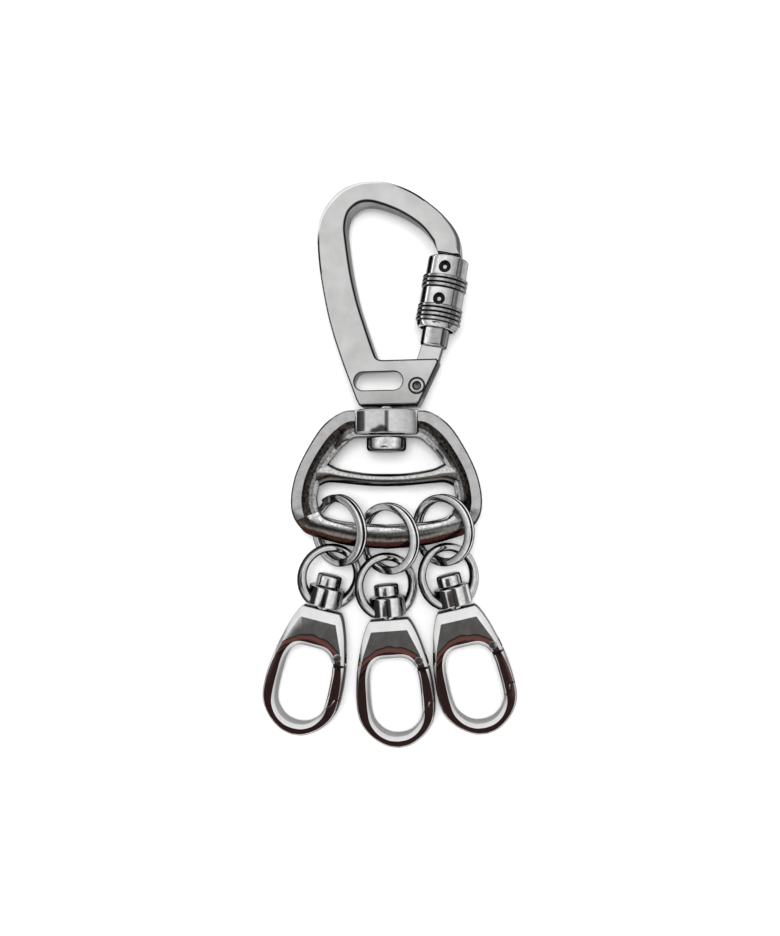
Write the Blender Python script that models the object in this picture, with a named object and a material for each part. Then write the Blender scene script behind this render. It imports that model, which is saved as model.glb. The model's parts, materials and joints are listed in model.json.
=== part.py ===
"""Key-chain carabiner with a locking gate, a swivelling dee, three split rings and three snap hooks.

It lies flat: +X to the right, +Y towards the carabiner's bow, +Z up from the surface it lies on.
Outlines are pixel coordinates on a picture of the piece, and each is scaled to that piece's own size.
"""
import math

import bmesh
import bpy
from mathutils import Matrix, Vector

# Shared clearances
SEAT_GAP = 0.0003
RUN_GAP = 0.0003
CUT_OVERRUN = 0.002

# Carabiner body
BODY_WIDTH = 0.0369
BODY_LENGTH = 0.0560
BODY_DEPTH = 0.0060
BODY_EDGE = 0.0005
BODY_YAW = math.radians(9.5)
WEB_SLOT_LENGTH = 0.0122
WEB_SLOT_HEIGHT = 0.0045
CHEEK_DEPTH = 0.0011

# Gate, its pin and its spring
GATE_OPENING = math.radians(18)
GATE_PIN_RADIUS = 0.0011
GATE_HEAD_RADIUS = 0.0018
GATE_HEAD_DEPTH = 0.0005
GATE_HEAD_RECESS = 0.0010
GATE_ROOT_RADIUS = 0.0020
STEM_WIDTH = 0.0066
STEM_DEPTH = 0.0058
STEM_CORNER = 0.0014
GATE_LEAF = 0.0003
GATE_LEAF_BOW = 0.0005

# Lock sleeve
SLEEVE_LENGTH = 0.0176
SLEEVE_TOP_RADIUS = 0.00505
SLEEVE_MID_RADIUS = 0.0053
SLEEVE_RIB_RADIUS = 0.0056
SLEEVE_END_RADIUS = 0.0047
SLEEVE_WALL = 0.0009
SLEEVE_EDGE = 0.0007
RIB_PITCH = 0.0012
RIB_DEPTH = 0.0004
UPPER_RIBS = 3
LOWER_RIBS = 4
SLEEVE_TOP_BAND = 0.0036
SLEEVE_MID_BAND = 0.0041
DIMPLE_RADIUS = 0.0017
DIMPLE_DEPTH = 0.00065

# Swivel post
POST_RADIUS = 0.0022
POST_ANCHOR_RADIUS = 0.0018
POST_ANCHOR_LENGTH = 0.0024
POST_HEAD_RADIUS = 0.0050
POST_HEAD_LENGTH = 0.0034
POST_HEAD_EDGE = 0.0011
POST_GAP = 0.0009
POST_COLLAR_RADIUS = 0.0029

# Dee
DEE_WIDTH = 0.0475
DEE_HEIGHT = 0.0345
DEE_DEPTH = 0.0060
DEE_BAR_DEPTH = 0.0052
DEE_LIP_DEPTH = 0.0026
DEE_CROSSBAR_DEPTH = 0.0032
BOSS_WIDTH = 0.0164
BOSS_DEPTH = 0.0120
BOSS_HEIGHT = 0.0060
BOSS_RISE = 0.0002

# Split rings
RING_OUTER_RADIUS = 0.0091
RING_WIRE_WIDTH = 0.0019
RING_WIRE_DEPTH = 0.00085
RING_TURN_GAP = 0.00045
RING_WIRE_EDGE = 0.00022
RING_TURNS = 2
RING_CLIMB = math.radians(20)
RING_RELIEF = math.radians(5)
RING_SPIN = math.radians(150)
LOOP_POINTS = 24

# Swivel eyes and their rivets
EYE_RADIUS = 0.0074
EYE_WIRE_RADIUS = 0.00112
EYE_WIRE_SWELL = 0.0003
EYE_BOSS_RADIUS = 0.0041
EYE_BOSS_HEIGHT = 0.0049
EYE_BOSS_EDGE = 0.0005
RIVET_RADIUS = 0.0013
RIVET_HEAD_RADIUS = 0.0031
RIVET_HEAD_HEIGHT = 0.0028
RIVET_HEAD_EDGE = 0.0006
RIVET_ANCHOR = 0.0026
LINK_GAP = 0.0015

# Snap hooks
HOOK_WIDTH = 0.0198
HOOK_LENGTH = 0.0326
HOOK_DEPTH = 0.0050
HOOK_EDGE = 0.0008
HOOK_NECK_GAP = 0.0009
HOOK_YAW = math.radians(6)
HOOK_PITCH = math.radians(3)
HOOK_SPACES = {"left": 0.0038, "right": 0.0005}
TONGUE_DEPTH = 0.0020
TONGUE_RADIUS = 0.0016
LEVER_PIN_RADIUS = 0.0008
LEVER_OPENING = math.radians(18)
LEVER_EDGE = 0.0006
LEAF_DEPTH = 0.0003

# Pixel coordinates read from the picture, x to the right and y down
BODY_AXIS_PIXEL = (386.0, 406.7)
BODY_SPAN_PIXELS = (147.6, 224.0)
BOW_PIXELS = [
    (461.7, 253.5), (459.5, 241.5), (450.5, 227.0), (434.5, 210.8), (413.4, 195.3),
    (390.5, 185.2), (371.5, 182.7), (356.0, 183.8), (341.0, 189.5), (328.0, 201.5),
    (319.3, 217.5), (317.2, 236.0), (318.6, 260.0), (321.9, 283.0), (328.9, 318.0),
    (340.0, 354.5), (356.8, 399.5),
]
BASE_PIXELS = [(359.6, 405.2), (361.8, 406.7), (419.0, 406.7), (421.2, 403.2)]
BASE_CORNER_PIXELS = [(439.2, 366.0), (439.6, 363.2), (437.4, 361.0)]
INNER_PIXELS = [
    (384.0, 361.0), (378.6, 359.6), (375.2, 354.0), (366.6, 329.0), (358.2, 302.5),
    (351.6, 273.5), (346.8, 241.0), (345.6, 226.0), (349.2, 212.5), (357.5, 205.4),
    (366.5, 203.2), (378.5, 205.2), (399.2, 213.8), (416.0, 224.4), (426.4, 234.0),
    (434.6, 245.6),
]
NOSE_INNER_PIXEL = 438.6
NOSE_OUTER_PIXEL = 461.7
WEB_SLOT_PIXEL = (379.7, 382.0)
GATE_PIN_PIXEL = (418.2, 387.5)
SLEEVE_TOP_PIXEL = (448.9, 261.8)
SLEEVE_FOOT_PIXEL = (436.7, 329.8)
STEM_FOOT_PIXEL = 348.5
ROOT_LEFT_PIXELS = [(422.6, 345.5), (417.4, 360.7)]
ROOT_RIGHT_PIXELS = [(439.1, 363.4), (444.4, 345.5)]
GATE_SLOT_FLOOR_PIXEL = 398.6
DIMPLE_PIXELS = [267.0, 297.6]

DEE_SPAN_PIXELS = (190.0, 137.9)
DEE_OUTER_PIXELS = [
    (0.0, 0.0), (24.0, 0.0), (41.0, 0.5), (55.5, 8.5), (67.5, 20.5), (82.0, 44.5),
    (91.0, 65.5), (95.0, 86.5), (93.5, 103.5), (86.0, 116.5), (75.0, 124.5),
    (38.0, 134.5), (0.0, 137.9),
]
DEE_INNER_PIXELS = [
    (0.0, 25.5), (20.0, 25.5), (33.0, 26.5), (42.0, 33.5), (50.5, 43.0), (60.0, 56.0),
    (66.5, 70.0), (69.5, 86.5), (67.8, 96.5), (63.0, 103.5), (55.0, 107.5),
    (36.0, 111.0), (0.0, 113.5),
]
CROSSBAR_TOP_PIXELS = [(0.0, 62.5), (16.0, 62.2), (30.0, 60.6), (46.0, 57.6), (55.0, 53.8), (66.0, 48.0)]
CROSSBAR_FOOT_PIXELS = [(0.0, 75.2), (16.0, 74.8), (30.0, 73.6), (46.0, 72.0), (60.0, 71.8), (73.0, 78.5)]

HOOK_SPAN_PIXELS = (79.2, 130.3)
HOOK_OUTER_PIXELS = [
    (19.0, 0.0), (22.7, 5.0), (28.2, 18.5), (32.9, 35.0), (36.6, 51.0), (38.9, 69.0),
    (39.6, 84.0), (38.8, 96.0), (35.4, 106.5), (28.6, 116.0), (20.0, 123.6),
    (10.5, 128.6), (0.0, 130.3),
]
HOOK_INNER_PIXELS = [
    (0.0, 38.5), (11.5, 38.9), (18.6, 42.6), (23.0, 49.0), (25.4, 58.0), (26.3, 72.0),
    (26.3, 90.0), (24.2, 102.0), (17.6, 111.4), (9.0, 116.8), (0.0, 118.3),
]
SHOULDER_PIXEL = 49.0
NOSE_STEP_PIXELS = [(39.6, 83.5), (34.6, 86.4), (33.0, 91.8), (26.3, 96.6)]
LEVER_PIN_PIXEL = (27.4, 42.6)
LEVER_ROOF_PIXELS = [(36.4, 51.0), (24.6, 53.4)]
LEVER_SPRING_PIXELS = [(12.6, 33.6), (19.4, 38.6)]

RING_PITCH = math.radians(8)
RING_YAWS = {"left": math.radians(43), "middle": math.radians(37), "right": math.radians(40)}
RING_PIXELS = {"left": (-47.6, 119.3), "middle": (2.0, 127.5), "right": (56.5, 119.0)}
MIDDLE_TILT = math.radians(5)
LINK_SHIFT_PIXELS = {"left": 2.0, "middle": -6.5, "right": -6.0}
EYE_YAW = math.radians(24)


def clear_scene():
    for item in list(bpy.data.objects):
        bpy.data.objects.remove(item, do_unlink=True)


def finish_material(name, colour, roughness):
    material = bpy.data.materials.new(name)
    material.use_nodes = True
    shader = material.node_tree.nodes["Principled BSDF"]
    shader.inputs["Base Color"].default_value = (*colour, 1.0)
    shader.inputs["Metallic"].default_value = 1.0
    shader.inputs["Roughness"].default_value = roughness
    return material


def make_empty(name, parent=None, location=(0, 0, 0), rotation=(0, 0, 0)):
    empty = bpy.data.objects.new(name, None)
    empty.location = location
    empty.rotation_euler = rotation
    empty.parent = parent
    bpy.context.collection.objects.link(empty)
    return empty


def add_object(name, mesh, parent, finish=None, location=(0, 0, 0), rotation=(0, 0, 0)):
    item = bpy.data.objects.new(name, mesh)
    item.location = location
    item.rotation_euler = rotation
    item.parent = parent
    bpy.context.collection.objects.link(item)
    if finish is None:
        item.hide_render = True
        item.display_type = "WIRE"
    else:
        material = finish_material(name + "_finish", *finish)
        mesh.materials.append(material)
    return item


def close_mesh(name, mesh_data, smooth_angle=math.radians(35)):
    bmesh.ops.recalc_face_normals(mesh_data, faces=mesh_data.faces[:])
    mesh = bpy.data.meshes.new(name)
    mesh_data.to_mesh(mesh)
    mesh_data.free()
    mesh.shade_smooth()
    mesh.set_sharp_from_angle(angle=smooth_angle)
    return mesh


def boolean(target, tool, operation="DIFFERENCE"):
    step = target.modifiers.new(operation.lower(), "BOOLEAN")
    step.operation = operation
    step.object = tool
    step.solver = "EXACT"


def bevel(target, width, segments=2, angle=math.radians(50)):
    step = target.modifiers.new("edge", "BEVEL")
    step.width = width
    step.segments = segments
    step.limit_method = "ANGLE"
    step.angle_limit = angle
    step.use_clamp_overlap = True


def spline(points, steps, closed=False):
    """Points along a Catmull-Rom curve through the given ones."""
    count = len(points)
    vectors = [Vector(point) for point in points]
    spans = count if closed else count - 1
    curve = []
    for index in range(spans):
        if closed:
            before, start = vectors[index - 1], vectors[index]
            end, after = vectors[(index + 1) % count], vectors[(index + 2) % count]
        else:
            start, end = vectors[index], vectors[index + 1]
            before = vectors[max(index - 1, 0)]
            after = vectors[min(index + 2, count - 1)]
        for step in range(steps):
            t = step / steps
            curve.append(
                0.5 * (2 * start + (end - before) * t
                       + (2 * before - 5 * start + 4 * end - after) * t ** 2
                       + (3 * start - before - 3 * end + after) * t ** 3)
            )
    if not closed:
        curve.append(vectors[-1])
    return curve


def arc(centre, radius, start, end, steps):
    points = []
    for step in range(steps + 1):
        angle = start + (end - start) * step / steps
        points.append(Vector((centre[0] + radius * math.cos(angle), centre[1] + radius * math.sin(angle))))
    return points


def prism(name, outline, low, high):
    """A flat outline in X and Y, drawn out from one height to another."""
    mesh_data = bmesh.new()
    floor = mesh_data.faces.new([mesh_data.verts.new((point[0], point[1], low)) for point in outline])
    result = bmesh.ops.extrude_face_region(mesh_data, geom=[floor])
    lifted = [item for item in result["geom"] if isinstance(item, bmesh.types.BMVert)]
    bmesh.ops.translate(mesh_data, verts=lifted, vec=(0, 0, high - low))
    return close_mesh(name, mesh_data)


def loft(name, sections, closed=False, smooth_angle=math.radians(35)):
    """A skin over rings of equal point counts, capped at both ends unless it closes on itself."""
    mesh_data = bmesh.new()
    rings = [[mesh_data.verts.new(point) for point in section] for section in sections]
    count = len(rings[0])
    pairs = list(zip(rings, rings[1:]))
    if closed:
        pairs.append((rings[-1], rings[0]))
    for first, second in pairs:
        for index in range(count):
            following = (index + 1) % count
            mesh_data.faces.new((first[index], first[following], second[following], second[index]))
    if not closed:
        mesh_data.faces.new(rings[0])
        mesh_data.faces.new(reversed(rings[-1]))
    return close_mesh(name, mesh_data, smooth_angle)


def lathe(name, profile, steps, bored=False, smooth_angle=math.radians(35)):
    """A profile of radii and heights turned about Z; a bored one closes on itself."""
    sections = []
    for step in range(steps):
        angle = 2 * math.pi * step / steps
        sections.append([Vector((radius * math.cos(angle), radius * math.sin(angle), height))
                         for radius, height in profile])
    if bored:
        return loft(name, sections, closed=True, smooth_angle=smooth_angle)
    mesh_data = bmesh.new()
    rings = [[mesh_data.verts.new(section[index]) for section in sections] for index in range(len(profile))]
    for lower, upper in zip(rings, rings[1:]):
        for index in range(steps):
            following = (index + 1) % steps
            mesh_data.faces.new((lower[index], lower[following], upper[following], upper[index]))
    mesh_data.faces.new(rings[0])
    mesh_data.faces.new(reversed(rings[-1]))
    return close_mesh(name, mesh_data, smooth_angle)


def cylinder(name, radius, low, high, steps):
    return lathe(name, [(radius, low), (radius, high)], steps)


def pixel_scale(size, pixels):
    return size[0] / pixels[0], size[1] / pixels[1]


def body_point(pixel):
    across, along = pixel_scale((BODY_WIDTH, BODY_LENGTH), BODY_SPAN_PIXELS)
    return Vector(((pixel[0] - BODY_AXIS_PIXEL[0]) * across, (BODY_AXIS_PIXEL[1] - pixel[1]) * along))


def dee_point(pixel, side=1):
    across, along = pixel_scale((DEE_WIDTH, DEE_HEIGHT), DEE_SPAN_PIXELS)
    return Vector((side * pixel[0] * across, -pixel[1] * along))


def hook_point(pixel, side=1):
    across, along = pixel_scale((HOOK_WIDTH, HOOK_LENGTH), HOOK_SPAN_PIXELS)
    return Vector((side * pixel[0] * across, -pixel[1] * along))


def sleeve_axis():
    """Top centre, unit direction up the gate and unit direction across it."""
    top = body_point(SLEEVE_TOP_PIXEL)
    along = (top - body_point(SLEEVE_FOOT_PIXEL)).normalized()
    return top, along, Vector((along[1], -along[0]))


def nose_circle():
    """Radius about the gate pin that clears the sleeve's top rim as the gate swings."""
    top, along, across = sleeve_axis()
    rim = top + across * (SLEEVE_TOP_RADIUS - SLEEVE_EDGE) - along * SLEEVE_EDGE
    return (rim - body_point(GATE_PIN_PIXEL)).length + SLEEVE_EDGE + RUN_GAP


def nose_point(pixel_x):
    pin = body_point(GATE_PIN_PIXEL)
    across = body_point((pixel_x, 0))[0] - pin[0]
    return Vector((pin[0] + across, pin[1] + math.sqrt(nose_circle() ** 2 - across ** 2)))


def carabiner_outline():
    outline = [nose_point(NOSE_OUTER_PIXEL)]
    outline += spline([body_point(pixel) for pixel in BOW_PIXELS], 2)
    outline += [body_point(pixel) for pixel in BASE_PIXELS]
    outline += [body_point(pixel) for pixel in BASE_CORNER_PIXELS]
    outline += spline([body_point(pixel) for pixel in INNER_PIXELS], 2)
    outline += [nose_point(NOSE_INNER_PIXEL)]
    middle = (NOSE_INNER_PIXEL + NOSE_OUTER_PIXEL) / 2
    outline += [nose_point(middle)]
    return outline


def root_half_depth():
    return BODY_DEPTH / 2 - CHEEK_DEPTH - RUN_GAP


def root_outline(radius):
    """The gate's root: round under the pin, straight along both flanks."""
    pin = body_point(GATE_PIN_PIXEL)
    left = [body_point(pixel) for pixel in ROOT_LEFT_PIXELS]
    right = [body_point(pixel) for pixel in ROOT_RIGHT_PIXELS]
    left_lean = math.pi - math.asin(min(0.9, (left[0][0] - left[1][0]) / (left[0] - left[1]).length))
    right_lean = 2 * math.pi - math.atan2(right[0][0] - pin[0] - radius, right[0][1] - pin[1])
    return [left[0], left[1]] + arc(pin, radius, left_lean, right_lean, 12) + right


def slot_wall():
    """How far left of the pin the open gate's root reaches at the top of the base."""
    pin = body_point(GATE_PIN_PIXEL)
    turn = Matrix.Rotation(GATE_OPENING, 2)
    reach = min((turn @ (point - pin))[0] for point in root_outline(GATE_ROOT_RADIUS)
                if (turn @ (point - pin))[1] < body_point(BASE_CORNER_PIXELS[-1])[1] - pin[1])
    return pin[0] + reach - RUN_GAP


def gate_slot_outline():
    wall = slot_wall()
    floor = body_point((0, GATE_SLOT_FLOOR_PIXEL))[1]
    roof = body_point(BASE_CORNER_PIXELS[-1])[1] + CUT_OVERRUN
    side = body_point(BASE_CORNER_PIXELS[0])[0] + CUT_OVERRUN
    corner = GATE_ROOT_RADIUS
    bend = arc((wall + corner, floor + corner), corner, math.pi, 1.5 * math.pi, 4)
    return [Vector((wall, roof))] + bend + [Vector((side, floor)), Vector((side, roof))]


def web_slot_outline():
    centre = body_point(WEB_SLOT_PIXEL)
    radius = WEB_SLOT_HEIGHT / 2
    run = WEB_SLOT_LENGTH / 2 - radius
    left = arc((centre[0] - run, centre[1]), radius, 0.5 * math.pi, 1.5 * math.pi, 8)
    right = arc((centre[0] + run, centre[1]), radius, -0.5 * math.pi, 0.5 * math.pi, 8)
    return left + right


def build_carabiner(frame, chrome):
    half = BODY_DEPTH / 2
    body = add_object("carabiner_body", prism("carabiner_body", carabiner_outline(), -half, half), frame, chrome)
    bevel(body, BODY_EDGE)
    through = half + CUT_OVERRUN
    slot = add_object("web_slot_cut", prism("web_slot_cut", web_slot_outline(), -through, through), frame)
    boolean(body, slot)
    cheek = half - CHEEK_DEPTH
    clevis = add_object("gate_slot_cut", prism("gate_slot_cut", gate_slot_outline(), -cheek, cheek), frame)
    boolean(body, clevis)
    pin = body_point(GATE_PIN_PIXEL)
    head = half - GATE_HEAD_DEPTH - SEAT_GAP
    bore = [(GATE_PIN_RADIUS + SEAT_GAP, -through), (GATE_PIN_RADIUS + SEAT_GAP, head),
            (GATE_HEAD_RADIUS + SEAT_GAP, head), (GATE_HEAD_RADIUS + SEAT_GAP, through)]
    boolean(body, add_object("gate_bore_cut", lathe("gate_bore_cut", bore, 20), frame, location=(*pin, 0)))
    anchor = cylinder("post_bore_cut", POST_ANCHOR_RADIUS + SEAT_GAP, -CUT_OVERRUN,
                      POST_ANCHOR_LENGTH + SEAT_GAP, 16)
    boolean(body, add_object("post_bore_cut", anchor, frame, rotation=(-math.pi / 2, 0, 0)))
    return body


def build_gate(frame, chrome):
    pin = body_point(GATE_PIN_PIXEL)
    hinge = make_empty("gate_axis", frame, location=(*pin, 0))
    half = root_half_depth()
    outline = [point - pin for point in root_outline(GATE_ROOT_RADIUS)]
    arm = add_object("gate_arm", prism("gate_arm", outline, -half, half), hinge, chrome)
    top, along, across = sleeve_axis()
    foot = body_point((0, STEM_FOOT_PIXEL))[1]
    run = (top[1] - foot) / along[1]
    wide, deep, cut = STEM_WIDTH / 2, STEM_DEPTH / 2, STEM_CORNER
    ring = [(wide, deep - cut), (wide - cut, deep), (cut - wide, deep), (-wide, deep - cut),
            (-wide, cut - deep), (cut - wide, -deep), (wide - cut, -deep), (wide, cut - deep)]
    sections = []
    for reach in (run, SEAT_GAP):
        centre = top - along * reach - pin
        sections.append([Vector((*(centre + across * x), z)) for x, z in ring])
    boolean(arm, add_object("stem_join", loft("stem_join", sections), hinge), "UNION")
    bore = cylinder("root_bore_cut", GATE_PIN_RADIUS + RUN_GAP, -half - CUT_OVERRUN, half + CUT_OVERRUN, 16)
    boolean(arm, add_object("root_bore_cut", bore, hinge))

    face = BODY_DEPTH / 2
    shank = face - GATE_HEAD_DEPTH
    recess = GATE_HEAD_RECESS
    profile = [(GATE_PIN_RADIUS, -face), (GATE_PIN_RADIUS, shank), (GATE_HEAD_RADIUS, shank),
               (GATE_HEAD_RADIUS, face), (recess, face), (recess, shank), (0.5 * recess, shank - 0.5 * recess)]
    add_object("gate_pivot_pin", lathe("gate_pivot_pin", profile, 20), frame, chrome, location=(*pin, 0))

    wall = slot_wall() + SEAT_GAP
    roof = body_point(BASE_CORNER_PIXELS[-1])[1] - SEAT_GAP
    foot = pin[1] + GATE_ROOT_RADIUS
    reach = (roof - foot) / 4
    leaf = [(wall, foot), (wall, roof), (wall + GATE_LEAF, roof),
            (wall + GATE_LEAF + GATE_LEAF_BOW, foot + 2 * reach), (wall + GATE_LEAF, foot)]
    leaf_half = half - RUN_GAP
    add_object("gate_spring", prism("gate_spring", leaf, -leaf_half, leaf_half), frame, chrome)
    return hinge


def sleeve_profile():
    """Outer radii and heights from the top rim down, then the bore back up."""
    top, middle, rib, edge = SLEEVE_TOP_RADIUS, SLEEVE_MID_RADIUS, SLEEVE_RIB_RADIUS, SLEEVE_EDGE
    bore = top - SLEEVE_WALL
    profile = [(bore, 0), (top - edge, 0), (top - 0.3 * edge, -0.3 * edge), (top, -edge)]
    height = -SLEEVE_TOP_BAND
    profile.append((top, height))
    for count, plain in ((UPPER_RIBS, SLEEVE_MID_BAND), (LOWER_RIBS, 0)):
        for index in range(count):
            start = height - index * RIB_PITCH
            profile += [(rib, start - 0.15 * RIB_PITCH), (rib, start - 0.65 * RIB_PITCH),
                        (rib - RIB_DEPTH, start - 0.82 * RIB_PITCH)]
        height -= count * RIB_PITCH
        if plain:
            profile += [(middle, height - 0.1 * RIB_PITCH), (middle, height - plain)]
            height -= plain
    profile += [(rib - 0.5 * edge, height - 0.1 * edge), (SLEEVE_END_RADIUS, -SLEEVE_LENGTH),
                (bore, -SLEEVE_LENGTH)]
    return profile


def build_sleeve(hinge, chrome):
    top, along, across = sleeve_axis()
    pin = body_point(GATE_PIN_PIXEL)
    lean = math.atan2(along[0], along[1])
    frame = make_empty("sleeve_axis", hinge, location=(*(top - pin), 0), rotation=(-math.pi / 2, 0, 0))
    frame.rotation_euler = (Matrix.Rotation(-lean, 3, "Z") @ Matrix.Rotation(-math.pi / 2, 3, "X")).to_euler()
    sleeve = add_object("lock_sleeve", lathe("lock_sleeve", sleeve_profile(), 24, bored=True), frame, chrome)
    for index, pixel in enumerate(DIMPLE_PIXELS):
        drop = (body_point((0, pixel))[1] - top[1]) / along[1]
        skin = (SLEEVE_TOP_RADIUS, SLEEVE_MID_RADIUS)[index]
        name = f"dimple_cut_{index}"
        depth = skin - DIMPLE_DEPTH
        shape = lathe(name, [(0.3 * DIMPLE_RADIUS, depth), (DIMPLE_RADIUS, skin - 0.5 * DIMPLE_DEPTH),
                             (DIMPLE_RADIUS, skin + CUT_OVERRUN)], 16)
        boolean(sleeve, add_object(name, shape, frame, location=(0, 0, drop), rotation=(math.pi / 2, 0, 0)))
    return frame


def build_post(frame, chrome):
    """Rivet of the swivel: its anchor in the base, its shank through the dee and its head below."""
    neck = -POST_GAP
    under = neck - BOSS_RISE - dee_throat() - RUN_GAP
    head = under - POST_HEAD_LENGTH
    edge = POST_HEAD_EDGE
    profile = [
        (POST_ANCHOR_RADIUS, POST_ANCHOR_LENGTH), (POST_ANCHOR_RADIUS, 0.5 * neck + 0.5 * SEAT_GAP),
        (POST_COLLAR_RADIUS, 0.5 * neck), (POST_COLLAR_RADIUS, neck + RUN_GAP), (POST_RADIUS, neck + RUN_GAP),
        (POST_RADIUS, under), (POST_HEAD_RADIUS, under), (POST_HEAD_RADIUS, head + edge),
        (POST_HEAD_RADIUS - 0.3 * edge, head + 0.3 * edge), (POST_HEAD_RADIUS - edge, head),
    ]
    add_object("swivel_post", lathe("swivel_post", profile, 24), frame, chrome, rotation=(-math.pi / 2, 0, 0))


def dee_throat():
    """Depth of the dee's top bar, from its outer edge to its inner one."""
    return -dee_point(DEE_INNER_PIXELS[0])[1]


def dee_sections():
    """Sections round the dee: a flat rim with an inner slope at the sides, a round bar below."""
    outer = spline([dee_point(pixel) for pixel in DEE_OUTER_PIXELS], 2)
    inner = spline([dee_point(pixel) for pixel in DEE_INNER_PIXELS], 2)
    mirrored = [(Vector((-a[0], a[1])), Vector((-b[0], b[1]))) for a, b in zip(outer, inner)]
    pairs = list(zip(outer, inner)) + mirrored[-2:0:-1]
    flat_shares = [(0.0, 0.78), (0.07, 1.0), (0.42, 1.0), (0.54, 0.62), (0.86, 0.44), (1.0, 0.26)]
    round_shares = [(0.0, 0.30), (0.12, 0.72), (0.38, 1.0), (0.62, 1.0), (0.88, 0.72), (1.0, 0.30)]
    sections = []
    for rim, lip in pairs:
        drop = -rim[1] / DEE_HEIGHT
        turn = min(1.0, max(0.0, (drop - 0.70) / 0.22))
        mix = turn * turn * (3 - 2 * turn)
        start = min(1.0, max(0.0, (0.12 - drop) / 0.10))
        points = []
        for (flat_t, flat_z), (round_t, round_z) in zip(flat_shares, round_shares):
            flat_z = flat_z + (max(flat_z, 0.9) - flat_z) * start
            t = flat_t + (round_t - flat_t) * mix
            z = flat_z * DEE_DEPTH / 2 * (1 - mix) + round_z * DEE_BAR_DEPTH / 2 * mix
            point = rim.lerp(lip, t)
            points.append((point[0], point[1], z))
        ring = points + [(x, y, -z) for x, y, z in reversed(points)]
        sections.append([Vector(point) for point in ring])
    return sections


def crossbar_sections():
    top = spline([dee_point(pixel) for pixel in CROSSBAR_TOP_PIXELS], 2)
    foot = spline([dee_point(pixel) for pixel in CROSSBAR_FOOT_PIXELS], 2)
    pairs = list(zip(top, foot))
    mirrored = [(Vector((-a[0], a[1])), Vector((-b[0], b[1]))) for a, b in pairs]
    sections = []
    for upper, lower in mirrored[:0:-1] + pairs:
        ring = []
        for index in range(10):
            angle = 2 * math.pi * index / 10
            point = upper.lerp(lower, 0.5 - 0.5 * math.cos(angle))
            ring.append(Vector((point[0], point[1], DEE_CROSSBAR_DEPTH / 2 * math.sin(angle))))
        sections.append(ring)
    return sections


def build_dee(frame, chrome):
    dee = add_object("dee_frame", loft("dee_frame", dee_sections(), closed=True), frame, chrome)
    bar = add_object("crossbar_join", loft("crossbar_join", crossbar_sections()), frame)
    boolean(dee, bar, "UNION")
    ring = [Vector((BOSS_WIDTH / 2 * math.cos(2 * math.pi * step / 32),
                    BOSS_DEPTH / 2 * math.sin(2 * math.pi * step / 32))) for step in range(32)]
    boss = add_object("boss_join", prism("boss_join", ring, -BOSS_HEIGHT, BOSS_RISE), frame,
                      rotation=(-math.pi / 2, 0, 0))
    boolean(dee, boss, "UNION")
    bore = cylinder("boss_bore_cut", POST_RADIUS + RUN_GAP, -dee_throat() - CUT_OVERRUN, CUT_OVERRUN, 20)
    boolean(dee, add_object("boss_bore_cut", bore, frame, rotation=(-math.pi / 2, 0, 0)))


def turn_height(angle):
    """Height of the wound wire: flat turns, with one short climb halfway along."""
    layer = RING_WIRE_DEPTH + RING_TURN_GAP
    rise = min(1.0, max(0.0, (angle - math.pi * RING_TURNS + RING_CLIMB) / (2 * RING_CLIMB)))
    return (rise * rise * (3 - 2 * rise) - 0.5) * layer


def ring_sections():
    """Flat wire wound twice, and the least gap from one turn to the next."""
    middle = RING_OUTER_RADIUS - RING_WIRE_WIDTH / 2
    wide, deep, cut = RING_WIRE_WIDTH / 2, RING_WIRE_DEPTH / 2, RING_WIRE_EDGE
    shape = [(wide, deep - cut), (wide - cut, deep), (cut - wide, deep), (-wide, deep - cut),
             (-wide, cut - deep), (cut - wide, -deep), (wide - cut, -deep), (wide, cut - deep)]
    start = RING_CLIMB + RING_RELIEF
    end = 2 * math.pi * RING_TURNS - start
    count = LOOP_POINTS * RING_TURNS
    angles = [start + (end - start) * step / count for step in range(count + 1)]
    sections = []
    for angle in angles:
        way = Vector((math.cos(angle), math.sin(angle), 0))
        height = turn_height(angle)
        sections.append([way * (middle + x) + Vector((0, 0, height + z)) for x, z in shape])
    least = min(turn_height(angle + 2 * math.pi) - turn_height(angle) - RING_WIRE_DEPTH
                for angle in angles if angle + 2 * math.pi <= end)
    return sections, least


def hook_widest():
    return max((hook_point(pixel) for pixel in HOOK_OUTER_PIXELS), key=lambda point: point[0])


def eye_reach():
    """Distance from a ring's centre down to the centre of the eye that hangs in it."""
    return RING_OUTER_RADIUS - RING_WIRE_WIDTH - LINK_GAP - EYE_WIRE_RADIUS + EYE_RADIUS


def line_tilt(side):
    """The outer hooks lean out until their widest points stand clear of the middle hook's."""
    if side == "middle":
        return MIDDLE_TILT
    reach = eye_reach() + hook_top() - hook_widest()[1]
    middle, outer = [dee_point((RING_PIXELS[name][0] + LINK_SHIFT_PIXELS[name], 0))[0] for name in ("middle", side)]
    apart = math.copysign(HOOK_WIDTH + HOOK_SPACES[side], RING_PIXELS[side][0])
    return math.asin((middle - outer + apart) / reach + math.sin(MIDDLE_TILT))


def chain_places(side):
    """Centres of the ring and the eye and the direction of the hook line, in the dee's own frame."""
    ring = Vector((*dee_point(RING_PIXELS[side]), 0))
    tilt = line_tilt(side)
    down = Vector((math.sin(tilt), -math.cos(tilt), 0))
    shift = dee_point((LINK_SHIFT_PIXELS[side], 0))[0]
    eye = ring + down * eye_reach() + Vector((shift, 0, 0))
    return ring, eye, down


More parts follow.
